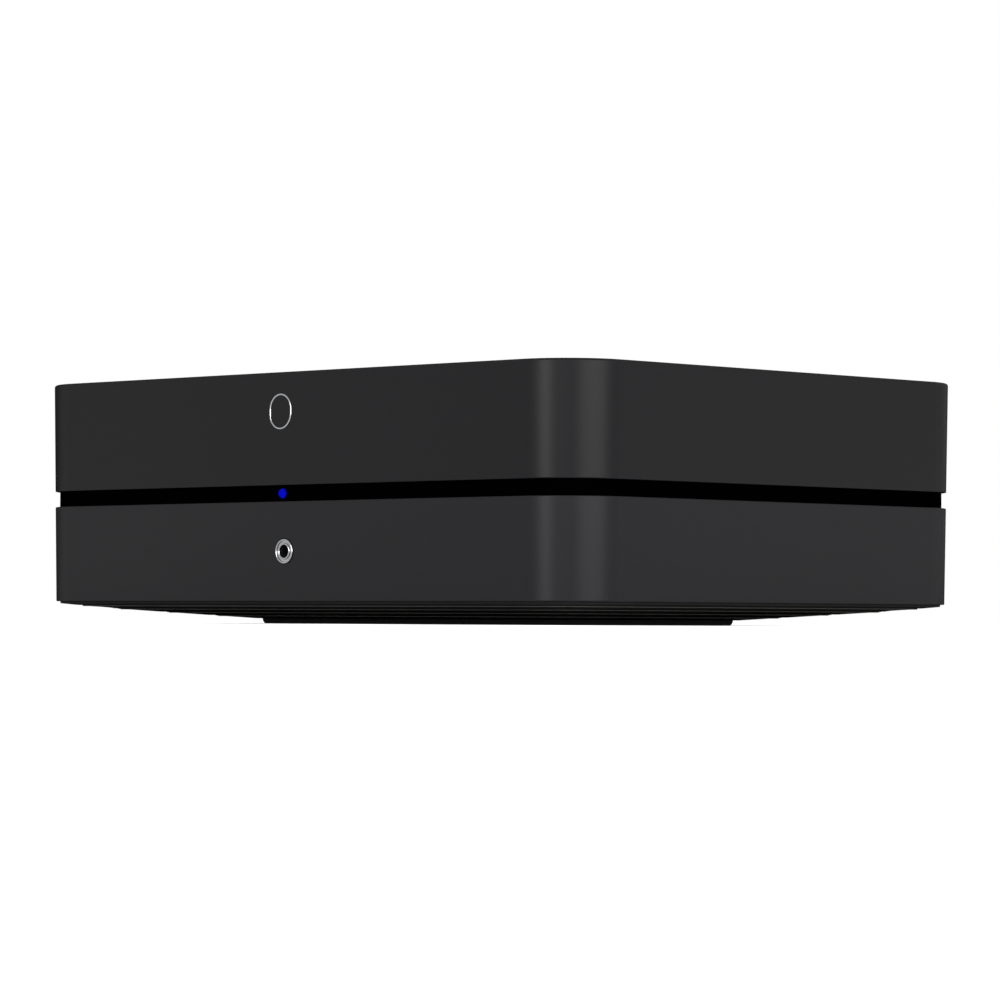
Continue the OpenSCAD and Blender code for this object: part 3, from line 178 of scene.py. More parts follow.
class StreamerSizes(bpy.types.PropertyGroup):
    """Sizes that the frame's boxes don't give"""

    corner_radius: length("Corner radius", "Radius of the upright corners at the top", 18.5)
    draft: angle("Draft", "Lean of the walls, which narrow downwards", 0.86)
    wall: length("Wall", "Thickness of both shells", 2.5)
    top_round: length("Top rounding", "Rounding where the top meets the walls", 0.8)
    seam_round: length("Seam rounding", "Rounding of the shells' edges at the dark gap", 0.3)
    corner_steps: count("Corner steps", "Faces round each upright corner", 28)
    tongue: length("Tongue", "Height of the band's tongues behind each shell", 2)
    band_wall: length("Band wall", "Thickness of the band's tongues", 2)
    fit: length("Fit", "Gap round pieces that drop into each other", 0.25)
    boss: length("Boss", "Diameter of the screw bosses", 8)
    screw_hole: length("Screw hole", "Diameter of the holes for the screws", 3.4)
    screw_tap: length("Tapped hole", "Diameter of the tapped holes", 3.1)
    post_height: length("Post height", "Height of the base's posts over the screw heads", 1.5)
    base_round: length("Base rounding", "Rounding of the base's edges", 0.15)
    # The rim's dark colour is painted shade of the gap under the lower shell, not a dark part
    base_rim: length("Base rim", "Height of the dark rim where the base meets the case", 0.6)
    rib_count: count("Ribs", "Raised ribs on the base", 4)
    rib_start: length("First rib", "Distance from the case's side to the middle of the first rib", 9.6)
    rib_pitch: length("Rib pitch", "Distance from one rib to the next", 10.2)
    rib_width: length("Rib width", "Width of the ribs", 1.8)
    rib_height: length("Rib height", "How far the ribs stand out", 0.12)
    rib_corner: length("Rib corner", "Smallest corner radius of the ribs", 1)
    foot_corner: length("Foot corner", "Corner radius of the foot", 4)
    foot_round: length("Foot rounding", "Rounding of the foot's lower edge", 1.2)
    touch_corner: length("Strip corner", "Corner radius of the touch strip", 3)
    touch_round: length("Strip rounding", "Rounding of the touch strip's upper edge", 0.25)
    badge_line: length("Mark line", "Line width of the mark on the front", 0.5)
    badge_proud: length("Mark height", "How far the mark stands out", 0.25)
    badge_round: length("Mark rounding", "Rounding of the mark's line", 0.2)
    lens_dome: length("Lamp dome", "How far the lamp's dome stands out", 1.2)
    lens_rim: length("Lamp rim", "Width of the rim behind the lamp", 0.7)
    lens_rim_depth: length("Lamp rim depth", "Thickness of the rim behind the lamp", 0.8)
    lens_fit: length("Lamp fit", "Gap round the lamp in the band", 0.05)
    jack_bore: length("Socket bore", "Bore of the headphone socket", 3.6)
    jack_hole: length("Socket hole", "Hole in the shell for the headphone socket", 5.5)
    jack_bead: length("Socket bead", "Width of the two beads on the socket's ring", 0.52)
    jack_groove: length("Socket groove", "Depth of the groove between the beads", 0.4)
    jack_lip: length("Socket lip", "Thickness of the ring's lip over the barrel", 0.5)
    panel_lap: length("Panel lap", "How far the rear panel laps behind the wall", 2)
    edge_round: length("Edge rounding", "Rounding of the sockets' edges", 0.18)
    mark_size: length("Switch mark", "Size of the marks on the switch", 2.2)
    mark_line: length("Switch mark line", "Line width of the marks on the switch", 0.4)
    network_pins: count("Network contacts", "Contacts in the network socket", 8)
    network_pitch: length("Network pitch", "Distance between the network contacts", 1.02)
    port_roof: length("Network roof", "Height of the network socket's roof over the board", 9.7)
    usb_pins: count("USB contacts", "Contacts on the USB tongue", 4)
    usb_pitch: length("USB pitch", "Distance between the USB contacts", 2)
    pin_width: length("Contact width", "Width of the network contacts", 0.45)
    pin_depth: length("Contact depth", "Height of the network contacts", 0.5)
    screw_thread: length("Thread", "Thread diameter of the screws", 3)
    screw_head: length("Screw head", "Diameter of the screw heads", 5.6)
    screw_head_height: length("Screw head height", "Height of the screw heads", 2)
    screw_key: length("Screw key", "Width across the corners of the screws' sockets", 2.9)


class StreamerColours(bpy.types.PropertyGroup):
    """Colours of the finishes that show most"""

    case: colour("Upper shell", "Satin charcoal of the upper shell", 0.005, 0.005, 0.0057)
    # Painted light: a lighter tint than the upper shell's for the same satin paint, for the stronger floor
    # bounce on the lower shell
    lower_case: colour("Lower shell", "Slightly lighter charcoal of the lower shell", 0.008, 0.008, 0.009)
    # Partly painted shade: the band's black plastic is made blacker than plastic gets, for the shade in the
    # recessed gap
    band: colour("Band", "Gloss black of the band", 0.00025, 0.00025, 0.00025)
    strip: colour("Touch strip", "Gloss black of the touch strip", 0.002, 0.002, 0.0022)
    base: colour("Base", "Matt charcoal of the underside", 0.021, 0.0204, 0.0197)
    # Painted light: the ribs are the base's matt plastic made about five times lighter, for the light they
    # catch from the floor
    rib: colour("Rib", "Lighter charcoal of the underside's ribs", 0.1, 0.0975, 0.095)
    foot: colour("Foot", "Black rubber", 0.011, 0.011, 0.011)
    chrome: colour("Chrome", "Bright metal of the ring and the mark", 0.33, 0.335, 0.34)
    lamp: colour("Lamp", "Light of the lamp", 0.0021, 0.0033, 0.418)
    panel: colour("Rear panel", "Textured black paint", 0.008, 0.008, 0.0085)
    moulding: colour("Moulding", "Black plastic of the sockets", 0.007, 0.007, 0.0075)


class StreamerStudio(bpy.types.PropertyGroup):
    """Camera, lights and floor"""

    focal_pixels: amount("Focal length", "Focal length in pixels of an image 1000 wide", 4162)
    distance: length("Distance", "Level distance of the camera from the origin", 1216)
    height: length("Camera height", "Height of the camera over the floor", 1.5)
    azimuth: angle("Azimuth", "Direction of the camera round the streamer", 43.949)
    turn: angle("Turn", "Turn of the camera away from the origin", -0.0665)
    pitch: angle("Pitch", "Upward tilt of the camera", 1.643)
    roll: angle("Roll", "Roll of the camera", 0.2685)
    floor_colour: colour("Floor", "Pale floor", 0.8, 0.8, 0.8)
    floor_lift: amount("Floor lift", "White that the floor adds where it is seen", 0.4)
    ambient: amount("Ambient", "Light from all round", 0.45)
    front_light: amount("Front box", "Brightness of the narrow soft box before the front", 18.5)
    near_light: amount("Near box", "Brightness of the weak soft box behind the camera", 3.4)
    right_light: amount("Right box", "Brightness of the wide soft box at the right", 9.0)
    back_light: amount("Back box", "Brightness of the soft box behind the streamer", 5.0)


# Node trees

class Socket:
    """One output of a node tree, with the operators that the shader maths uses."""

    def __init__(self, nodes, output):
        self.nodes = nodes
        self.output = output

    def maths(self, operation, first, second):
        return self.nodes.add("ShaderNodeMath", {"operation": operation}, {0: first, 1: second})

    def __add__(self, other):
        return self.maths("ADD", self, other)

    def __radd__(self, other):
        return self.maths("ADD", other, self)

    def __sub__(self, other):
        return self.maths("SUBTRACT", self, other)

    def __rsub__(self, other):
        return self.maths("SUBTRACT", other, self)

    def __mul__(self, other):
        return self.maths("MULTIPLY", self, other)

    def __rmul__(self, other):
        return self.maths("MULTIPLY", other, self)


class Nodes:
    """A node tree that grows by one node a call."""

    def __init__(self, tree):
        self.tree = tree

    def add(self, kind, settings=None, sockets=None, out=0):
        """Adds a node, sets it, then fills its sockets; a list links several values to one socket."""
        node = self.tree.nodes.new(kind)
        for name, value in (settings or {}).items():
            if name == "stops":
                self.set_stops(node.color_ramp, value)
            else:
                setattr(node, name, value)
        for key, value in (sockets or {}).items():
            for one in value if isinstance(value, list) else [value]:
                if isinstance(one, Socket):
                    self.tree.links.new(one.output, node.inputs[key])
                else:
                    node.inputs[key].default_value = one
        return Socket(self, node.outputs[out]) if node.outputs else None

    @staticmethod
    def set_stops(ramp, stops):
        while len(ramp.elements) < len(stops):
            ramp.elements.new(1)
        for element, (position, value) in zip(ramp.elements, stops):
            element.position = position
            element.color = value


class Finish(Nodes):
    """A material on Object coordinates."""

    def __init__(self, name):
        self.material = bpy.data.materials.new(FINISH_PREFIX + name)
        self.material.use_nodes = True
        super().__init__(self.material.node_tree)
        self.tree.nodes.clear()
        self.where = self.add("ShaderNodeTexCoord", out="Object")

    def stretched(self, x, y, z):
        """Coordinates scaled along each axis, for streaks."""
        return self.add("ShaderNodeMapping", {}, {"Vector": self.where, "Scale": (x, y, z)})

    def noise(self, scale, detail, where=None):
        return self.add(
            "ShaderNodeTexNoise", {}, {"Vector": where or self.where, "Scale": scale, "Detail": detail}
        )

    def cells(self, scale, distance="EUCLIDEAN"):
        settings = {"distance": distance}
        return self.add("ShaderNodeTexVoronoi", settings, {"Vector": self.where, "Scale": scale})

    def stripes(self, scale, direction):
        settings = {"wave_type": "BANDS", "bands_direction": direction}
        return self.add("ShaderNodeTexWave", settings, {"Vector": self.where, "Scale": scale}, "Fac")

    def blend(self, share, first, second):
        """A colour between two others."""
        return self.add("ShaderNodeMix", {"data_type": "RGBA"}, {0: share, 6: first, 7: second}, 2)

    def shades(self, share, tint, start, end):
        """A colour between two shades of one tint."""
        return self.blend(share, shade(tint, start), shade(tint, end))

    def ramp(self, share, stops):
        """Grey levels at their places along a share."""
        settings = {"stops": [(place, grey(level)) for place, level in stops]}
        return self.add("ShaderNodeValToRGB", settings, {"Fac": share})

    def bump(self, height, strength, depth):
        return self.add(
            "ShaderNodeBump", {}, {"Height": height, "Strength": strength, "Distance": depth}
        )

    def principled(self, sockets):
        return self.add("ShaderNodeBsdfPrincipled", {}, sockets)

    def done(self, shader):
        """Ends the tree in a shader."""
        self.add("ShaderNodeOutputMaterial", {}, {"Surface": shader})
        return self.material


def seen(nodes):
    """1 where the camera sees, also through a reflection or a clear piece, and 0 for other light."""
    camera, glossy, clear = [
        nodes.add("ShaderNodeLightPath", out=f"Is {ray} Ray") for ray in ("Camera", "Glossy", "Transmission")
    ]
    return camera + glossy + clear


def shade(tint, factor):
    """A colour made lighter or darker."""
    return tuple(min(1.0, channel * factor) for channel in tint[:3]) + (1.0,)


def grey(level):
    return (level, level, level, 1.0)


def sway(level, *parts):
    """A level that goes up and down with each share, by its spread."""
    for share, spread in parts:
        level = level + (share - 0.5) * spread
    return level


# Finishes

def moulded(name, tint, roughness, grain_mm=0.35, depth_mm=0.012, gloss=0.5, spread=0.08):
    """Moulded or painted surface with a fine even grain and slight clouding."""
    finish = Finish(name)
    grain = finish.noise(scale=1 / (grain_mm * MM), detail=2)
    cloud = finish.noise(scale=14, detail=3)
    return finish.done(finish.principled({
        "Base Color": finish.shades(cloud, tint, start=0.88, end=1.12),
        "Roughness": sway(roughness, (grain, spread), (cloud, 0.05)),
        "Specular IOR Level": gloss,
        "Normal": finish.bump(grain, strength=0.35, depth=depth_mm * MM),
    }))


def metal(name, tint, roughness, streaks=(1, 1, 1), depth_mm=0.004, spread=0.12):
    """Bare or plated metal, with streaks along the axes that are scaled least."""
    finish = Finish(name)
    brushed = finish.noise(scale=1 / (0.3 * MM), detail=4, where=finish.stretched(*streaks))
    cloud = finish.noise(scale=60, detail=4)
    return finish.done(finish.principled({
        "Base Color": finish.shades(cloud, tint, start=0.86, end=1.06),
        "Metallic": 1.0,
        "Roughness": sway(roughness, (brushed, spread), (cloud, 0.06)),
        "Normal": finish.bump(brushed, strength=0.25, depth=depth_mm * MM),
    }))


def satin(name, tint, roughness=0.36, gloss=0.09):
    """Satin paint: fine orange peel over an even, slightly clouded coat, matt at a glancing angle."""
    finish = Finish(name)
    grain = finish.noise(scale=2600, detail=2)
    peel = finish.noise(scale=420, detail=2)
    cloud = finish.noise(scale=9, detail=4)
    coat = {
        "Base Color": finish.shades(cloud, tint, start=0.93, end=1.07),
        "Roughness": sway(roughness, (grain, 0.06), (cloud, 0.04)),
        "Normal": finish.bump(grain * 0.6 + peel * 0.4, strength=0.12, depth=0.01 * MM),
    }
    glossy = finish.principled({**coat, "Specular IOR Level": gloss})
    matt = finish.principled({**coat, "Specular IOR Level": 0.0})
    slant = finish.add("ShaderNodeLayerWeight", {}, {"Blend": 0.5}, "Facing")
    fade = finish.ramp(slant, SATIN_FADE)
    return finish.done(finish.add("ShaderNodeMixShader", {}, {0: fade, 1: glossy, 2: matt}))


def glowing(name, tint):
    """Lens that glows: a little brighter in the middle of each fine facet."""
    finish = Finish(name)
    facets = finish.cells(scale=1500)
    return finish.done(finish.principled({
        "Base Color": finish.shades(facets, tint, start=0.25, end=0.1),
        "Roughness": 0.35 + facets * 0.1,
        "Specular IOR Level": 0.0,
        "Emission Color": finish.shades(facets, tint, start=1.06, end=0.92),
        "Emission Strength": 1.0,
    }))


def board(name, mask, track):
    """Circuit board: tracks that show through the coat, in a blocky network."""
    finish = Finish(name)
    cells = finish.cells(scale=260, distance="CHEBYCHEV")
    tracks = finish.ramp(cells, ((0.0, 0), (0.42, 0.1), (0.5, 1)))
    return finish.done(finish.principled({
        "Base Color": finish.blend(tracks, mask, track),
        "Roughness": 0.42 - cells * 0.1,
        "Normal": finish.bump(tracks, strength=0.3, depth=0.03 * MM),
    }))


def striped(name, first, second, scale, roughness):
    """Plastic or glass with stripes across X, as on a flat cable or a sleeve."""
    finish = Finish(name)
    bands = finish.stripes(scale, "X")
    return finish.done(finish.principled({
        "Base Color": finish.blend(bands, first, second),
        "Roughness": roughness + bands * 0.1,
        "Normal": finish.bump(bands, strength=0.4, depth=0.05 * MM),
    }))


def recipes(colours):
    """How each finish is made: its maker with its values."""
    matte = partial(moulded, roughness=0.6, grain_mm=0.5, depth_mm=0.02, gloss=0.0)
    insert = partial(moulded, roughness=0.35, grain_mm=0.5, depth_mm=0.006)
    black = partial(moulded, tint=colours.moulding)
    return {
        "case_satin": partial(satin, tint=colours.case),
        # Painted light: the lower shell's copy of the satin is lighter than the upper shell's
        "lower_case_satin": partial(satin, tint=colours.lower_case),
        "strip_gloss": partial(satin, tint=colours.strip, roughness=0.24, gloss=0.05),
        # Partly painted shade: the band's black plastic, made near-black and without gloss, for the shade in
        # its recess
        "band_gloss": partial(
            moulded, tint=colours.band, roughness=0.22, grain_mm=1.2, depth_mm=0.002, gloss=0.0, spread=0.04
        ),
        "base_matte": partial(matte, tint=colours.base),
        # Painted light: the ribs' lighter copy of the base's matt finish
        "rib_matte": partial(matte, tint=colours.rib),
        "foot_rubber": partial(
            moulded, tint=colours.foot, roughness=0.8, grain_mm=0.6, depth_mm=0.04, gloss=0.04
        ),
        "bright_chrome": partial(metal, tint=colours.chrome, roughness=0.13, depth_mm=0.002, spread=0.08),
        "lamp_blue": partial(glowing, tint=colours.lamp),
        "screw_steel": partial(metal, tint=grey(0.11), roughness=0.32, streaks=(1, 1, 6)),
        # socket_black: the network socket's black plastic, and painted shade in the screws' key sockets
        "socket_black": partial(black, roughness=0.42, grain_mm=0.4, depth_mm=0.01, gloss=0.4),
        "moving_black": partial(black, roughness=0.28, grain_mm=0.8, depth_mm=0.004, gloss=0.45),
        "panel_black": partial(
            moulded, tint=colours.panel, roughness=0.5, grain_mm=0.7, depth_mm=0.05, gloss=0.35, spread=0.14
        ),
        "board_green": partial(board, mask=(0.012, 0.075, 0.03, 1), track=(0.03, 0.14, 0.06, 1)),
        "board_tan": partial(board, mask=(0.22, 0.15, 0.06, 1), track=(0.3, 0.21, 0.1, 1)),
        "ribbon_cream": partial(
            striped, first=(0.72, 0.68, 0.56, 1), second=(0.5, 0.47, 0.4, 1), scale=310, roughness=0.45
        ),
        "fuse_glass": partial(
            striped, first=(0.7, 0.74, 0.72, 1), second=(0.5, 0.53, 0.52, 1), scale=60, roughness=0.12
        ),
        "capacitor_blue": partial(
            striped, first=(0.025, 0.06, 0.16, 1), second=(0.03, 0.075, 0.2, 1), scale=40, roughness=0.3
        ),
        "pin_brass": partial(metal, tint=(0.72, 0.55, 0.24, 1), roughness=0.22),
        "shield_steel": partial(metal, tint=(0.52, 0.53, 0.54, 1), roughness=0.26, streaks=(1, 8, 1)),
        "sink_aluminium": partial(metal, tint=(0.16, 0.165, 0.175, 1), roughness=0.42, streaks=(1, 6, 1)),
        "aerial_copper": partial(metal, tint=(0.55, 0.25, 0.12, 1), roughness=0.36, streaks=(6, 1, 1)),
        "tongue_white": partial(insert, tint=grey(0.62)),
        "insert_red": partial(insert, tint=(0.42, 0.02, 0.018, 1)),
        "insert_violet": partial(insert, tint=(0.11, 0.04, 0.3, 1)),
        "chip_black": partial(moulded, tint=grey(0.012), roughness=0.55, grain_mm=0.3, depth_mm=0.02),
        "filter_ochre": partial(
            moulded, tint=(0.42, 0.26, 0.05, 1), roughness=0.4, grain_mm=0.6, depth_mm=0.01
        ),
        "core_ferrite": partial(moulded, tint=grey(0.03), roughness=0.6, grain_mm=0.25, depth_mm=0.05),
        "wire_red": partial(
            moulded, tint=(0.4, 0.015, 0.012, 1), roughness=0.4, grain_mm=0.8, depth_mm=0.004
        ),
        "mark_white": partial(moulded, tint=grey(0.6), roughness=0.5, grain_mm=0.3, depth_mm=0.005),
    }


def finish_of(name):
    """The material of that name, made when it is first asked for."""
    found = bpy.data.materials.get(FINISH_PREFIX + name)
    return found or recipes(bpy.context.scene.streamer_colours)[name](name)


# Places

class CasePlan:
    """Heights of the case's seams and the middles of its corners, from the frame and the panel's sizes."""

    def __init__(self, sizes):
        self.sizes = sizes
        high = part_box("upper_shell")[1]
        band_low, band_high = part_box("mid_band")
        self.lean = math.tan(sizes.draft)
        self.top = high.z
        self.seam_high = band_high.z - sizes.tongue
        self.seam_low = band_low.z + sizes.tongue
        self.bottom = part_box("lower_shell")[0].z
        self.half_x = high.x + sizes.top_round * self.lean
        self.half_y = high.y + sizes.top_round * self.lean
        self.arc_x = self.half_x - sizes.corner_radius
        self.arc_y = self.half_y - sizes.corner_radius
        screws_low, screws_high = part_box("case_screws")
        self.boss_x = screws_high.x - sizes.screw_head / 2
        self.boss_y = screws_high.y - sizes.screw_head / 2
        self.head_seat = screws_low.z + sizes.screw_head_height

    def face(self, z):
        """Radius of the corners' outer face at a height."""
        return self.sizes.corner_radius - (self.top - z) * self.lean

    def ring(self, radius, z):
        """Outline round the case at a radius from the corners' middles."""
        return outline(self.arc_x + radius, self.arc_y + radius, radius, z, self.sizes.corner_steps)

    def round_case(self, name, section, closed=False):
        """A form round the case: its section gives radius and height."""
        return loft(name, [self.ring(radius, z) for radius, z in section], closed)

    def lower_edge(self, z):
        """Section of a wall's rounded lower outer edge, from below to the outer face."""
        edge = self.sizes.seam_round
        return arc(self.face(z) - edge, z + edge, edge, -90, 0)

    def upper_edge(self, z):
        """Section of a wall's rounded upper outer edge, from the outer face to the top."""
        edge = self.sizes.seam_round
        return arc(self.face(z) - edge, z - edge, edge, 0, 90)

    def bosses(self):
        """Places of the four corner screws."""
        return [Vector((sx * self.boss_x, sy * self.boss_y, 0)) for sx in (-1, 1) for sy in (-1, 1)]

    def boss_tubes(self, low, high, hole):
        """A tube round each corner screw."""
        outer = self.sizes.boss / 2
        section = [(hole / 2, low), (outer, low), (outer, high), (hole / 2, high)]
        return turned("tubes", section, [Matrix.Translation(place) for place in self.bosses()], True)


def middle(node):
    """Middle of a CAD node's box."""
    low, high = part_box(node)
    return (low + high) / 2


def strip_ring(sizes, grow, z):
    """Outline of the touch strip at a height, grown all round."""
    low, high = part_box("touch_panel")
    half = (high - low) / 2
    points = outline(half.x + grow, half.y + grow, sizes.touch_corner + grow, z, sizes.corner_steps)
    centre = middle("touch_panel")
    return [point + Vector((centre.x, centre.y, 0)) for point in points]


def body_of(node):
    """Name of the body that carries a CAD node."""
    parent = frame["nodes"][node].parent
    return next(name for name, empty in frame["bodies"].items() if empty == parent)


def facing_front(x, y, z):
    """Turns +Z to the front, at a place."""
    return Matrix.Translation((x, y, z)) @ Matrix.Rotation(math.radians(90), 4, "X")


# Meshes

def outline(half_x, half_y, radius, z, steps):
    """Points round a rectangle with round corners, anticlockwise from its right side."""
    points = []
    for turn, (sx, sy) in enumerate(((1, 1), (-1, 1), (-1, -1), (1, -1))):
        for step in range(steps + 1):
            a = math.radians(90 * (turn + step / steps))
            points.append(Vector((
                sx * (half_x - radius) + radius * math.cos(a),
                sy * (half_y - radius) + radius * math.sin(a),
                z,
            )))
    return points


def arc(across, up, radius, start, end, steps=6):
    """Points of a round edge in a section, from one angle to another in degrees."""
    angles = [math.radians(start + (end - start) * k / steps) for k in range(steps + 1)]
    return [(across + radius * math.cos(a), up + radius * math.sin(a)) for a in angles]


def new_object(name, mesh):
    made = bpy.data.objects.new(name, mesh)
    bpy.context.scene.collection.objects.link(made)
    return made


def as_object(name, bm):
    """Turns a bmesh into an object whose faces point outwards."""
    bmesh.ops.remove_doubles(bm, verts=bm.verts, dist=SAME_POINT)
    bmesh.ops.recalc_face_normals(bm, faces=bm.faces)
    mesh = bpy.data.meshes.new(name)
    bm.to_mesh(mesh)
    bm.free()
    return new_object(name, mesh)


def skin(bm, rings, closed):
    """Faces through rings of equally many points: closed in a loop, or capped at both ends."""
    loops = [[bm.verts.new(point) for point in ring] for ring in rings]
    following = loops[1:] + loops[:1] if closed else loops[1:]
    for first, second in zip(loops, following):
        for k in range(len(first)):
            bm.faces.new((first[k - 1], first[k], second[k], second[k - 1]))
    if not closed:
        bm.faces.new(loops[0])
        bm.faces.new(loops[-1])


def loft(name, rings, closed=False):
    bm = bmesh.new()
    skin(bm, rings, closed)
    return as_object(name, bm)


def turned_rings(section, place, steps):
    """Rings of a turned form: its section gives radius and height along the place's Z."""
    angles = [math.tau * k / steps for k in range(steps)]
    return [
        [place @ Vector((radius * math.cos(a), radius * math.sin(a), height)) for a in angles]
        for radius, height in section
    ]


def turned(name, section, places, closed=False, steps=48):
    """A turned form, once at each place."""
    bm = bmesh.new()
    for place in places:
        skin(bm, turned_rings(section, place, steps), closed)
    return as_object(name, bm)


def rods(name, radius, low, high, places):
    """Round rods from one height to another, for cutting."""
    return turned(name, [(radius, low), (radius, high)], places)


def block(name, low, high):
    """A plain block between two corners, for cutting."""
    bm = bmesh.new()
    bmesh.ops.create_cube(bm, size=1)
    for vert in bm.verts:
        vert.co = Vector(low if value < 0 else high for value, low, high in zip(vert.co, low, high))
    return as_object(name, bm)


def settle(piece):
    """Makes a piece's modifiers part of its mesh."""
    evaluated = piece.evaluated_get(bpy.context.evaluated_depsgraph_get())
    mesh = bpy.data.meshes.new_from_object(evaluated)
    piece.modifiers.clear()
    piece.data = mesh
    mesh.name = piece.name
    return piece


def carve(piece, *tools, operation="DIFFERENCE"):
    """Cuts tools out of a piece, or adds them to it, and removes them."""
    for tool in tools:
        modifier = piece.modifiers.new("Carve", "BOOLEAN")
        modifier.operation = operation
        modifier.solver = "EXACT"
        modifier.object = tool
    settle(piece)
    for tool in tools:
        bpy.data.objects.remove(tool)
    return piece


def merge(piece, other):
    """Takes another object's mesh into a piece."""
    bm = bmesh.new()
    bm.from_mesh(piece.data)
    bm.from_mesh(other.data)
    bm.to_mesh(piece.data)
    bm.free()
    bpy.data.objects.remove(other)
    return piece


def cleaned(piece):
    """Merges doubled points and drops faces without area."""
    bm = bmesh.new()
    bm.from_mesh(piece.data)
    bmesh.ops.remove_doubles(bm, verts=bm.verts, dist=DOUBLE)
    bmesh.ops.dissolve_degenerate(bm, edges=bm.edges, dist=DOUBLE)
    bm.to_mesh(piece.data)
    bm.free()
    return piece


def smooth(piece, degrees=SHARP_ANGLE):
    """Smooth shading that keeps edges sharper than an angle, with normals that favour large faces."""
    mesh = piece.data
    mesh.polygons.foreach_set("use_smooth", [True] * len(mesh.polygons))
    mesh.set_sharp_from_angle(angle=math.radians(degrees))
    modifier = piece.modifiers.new("Even shading", "WEIGHTED_NORMAL")
    modifier.keep_sharp = True
    modifier.weight = LARGE_FACE_WEIGHT
    return settle(piece)


def dress(piece, slot, *nodes, body=None, finish=None):
    """Gives a piece its finish and its body; it stands for the nodes that are named."""
    piece.data.materials.clear()
    piece.data.materials.append(finish_of(finish or slot))
    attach(piece, body or body_of(nodes[0]))
    if nodes:
        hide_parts(*nodes)
    return piece


def softened(name, node, width):
    """A copy of a CAD node with its facets merged and its edges rounded."""
    bm = bmesh.new()
    bm.from_mesh(frame["nodes"][node].data)
    bmesh.ops.remove_doubles(bm, verts=bm.verts, dist=DOUBLE)
    bmesh.ops.dissolve_limit(bm, angle_limit=math.radians(FLAT_ANGLE), verts=bm.verts, edges=bm.edges)
    mesh = bpy.data.meshes.new(name)
    bm.to_mesh(mesh)
    bm.free()
    piece = new_object(name, mesh)
    modifier = piece.modifiers.new("Edge rounding", "BEVEL")
    modifier.width = width
    modifier.segments = BEVEL_STEPS
    modifier.limit_method = "ANGLE"
    modifier.angle_limit = math.radians(SHARP_ANGLE)
    return smooth(cleaned(settle(piece)), SMALL_SHARP_ANGLE)


# Geometry Nodes

class Growth(Nodes):
    """A Geometry Nodes tree with named inputs."""

    def __init__(self, name):
        super().__init__(bpy.data.node_groups.new(name, "GeometryNodeTree"))
        self.identifiers = {}
        for way in ("INPUT", "OUTPUT"):
            self.tree.interface.new_socket("Geometry", in_out=way, socket_type="NodeSocketGeometry")
        self.entry = self.tree.nodes.new("NodeGroupInput")

    def size(self, name, kind="Float"):
        """Adds a named input and returns its value."""
        made = self.tree.interface.new_socket(name, in_out="INPUT", socket_type=f"NodeSocket{kind}")
        self.identifiers[name] = made.identifier
        return Socket(self, self.entry.outputs[name])

    def start(self):
        return Socket(self, self.entry.outputs["Geometry"])

    def vector(self, x=0.0, y=0.0, z=0.0):
        return self.add("ShaderNodeCombineXYZ", {}, {0: x, 1: y, 2: z})

    def moved(self, geometry, shift, turn=(0.0, 0.0, 0.0)):
        return self.add(
            "GeometryNodeTransform", {}, {"Geometry": geometry, "Translation": shift, "Rotation": turn}
        )

    def copies(self, points, shape):
        return self.add("GeometryNodeInstanceOnPoints", {}, {"Points": points, "Instance": shape})

    def joined(self, *parts):
        return self.add("GeometryNodeJoinGeometry", {}, {"Geometry": list(parts)})

    def realized(self, geometry):
        return self.add("GeometryNodeRealizeInstances", {}, {"Geometry": geometry})

    def rod(self, sides, radius, depth, height):
        """A cylinder along Z with its middle at a height."""
        made = self.add(
            "GeometryNodeMeshCylinder", {}, {"Vertices": sides, "Radius": radius, "Depth": depth}, "Mesh"
        )
        return self.moved(made, self.vector(z=height))

    def frame_curve(self, width, height, radius):
        """A closed curve round a rectangle with round corners."""
        plain = self.add(
            "GeometryNodeCurvePrimitiveQuadrilateral", {"mode": "RECTANGLE"},
            {"Width": width, "Height": height},
        )
        return self.add(
            "GeometryNodeFilletCurve", {"mode": "POLY"},
            {"Curve": plain, "Count": CURVE_CORNER_STEPS, "Radius": radius},
        )

    def cut(self, whole, tools):
        settings = {"operation": "DIFFERENCE", "solver": "EXACT"}
        return self.add("GeometryNodeMeshBoolean", settings, {"Mesh 1": whole, "Mesh 2": tools})

    def united(self, *parts):
        settings = {"operation": "UNION", "solver": "EXACT"}
        return self.add("GeometryNodeMeshBoolean", settings, {"Mesh 2": list(parts)})

    def end(self, geometry, slot):
        """Ends the tree in real geometry with its material."""
        painted = self.add(
            "GeometryNodeSetMaterial", {}, {"Geometry": self.realized(geometry), "Material": finish_of(slot)}
        )
        self.add("NodeGroupOutput", {}, {"Geometry": painted})

    def grow(self, piece, **values):
        """Runs the tree on a piece with those input values and keeps the result as a plain mesh."""
        modifier = piece.modifiers.new(self.tree.name, "NODES")
        for name, value in values.items():
            modifier[self.identifiers[name.replace("_", " ").capitalize()]] = value
        modifier.node_group = self.tree
        return settle(piece)


def empty_piece(name, points=()):
    """An object whose mesh holds only points, for a tree to start from."""
    mesh = bpy.data.meshes.new(name)
    mesh.from_pydata([tuple(point) for point in points], [], [])
    return new_object(name, mesh)


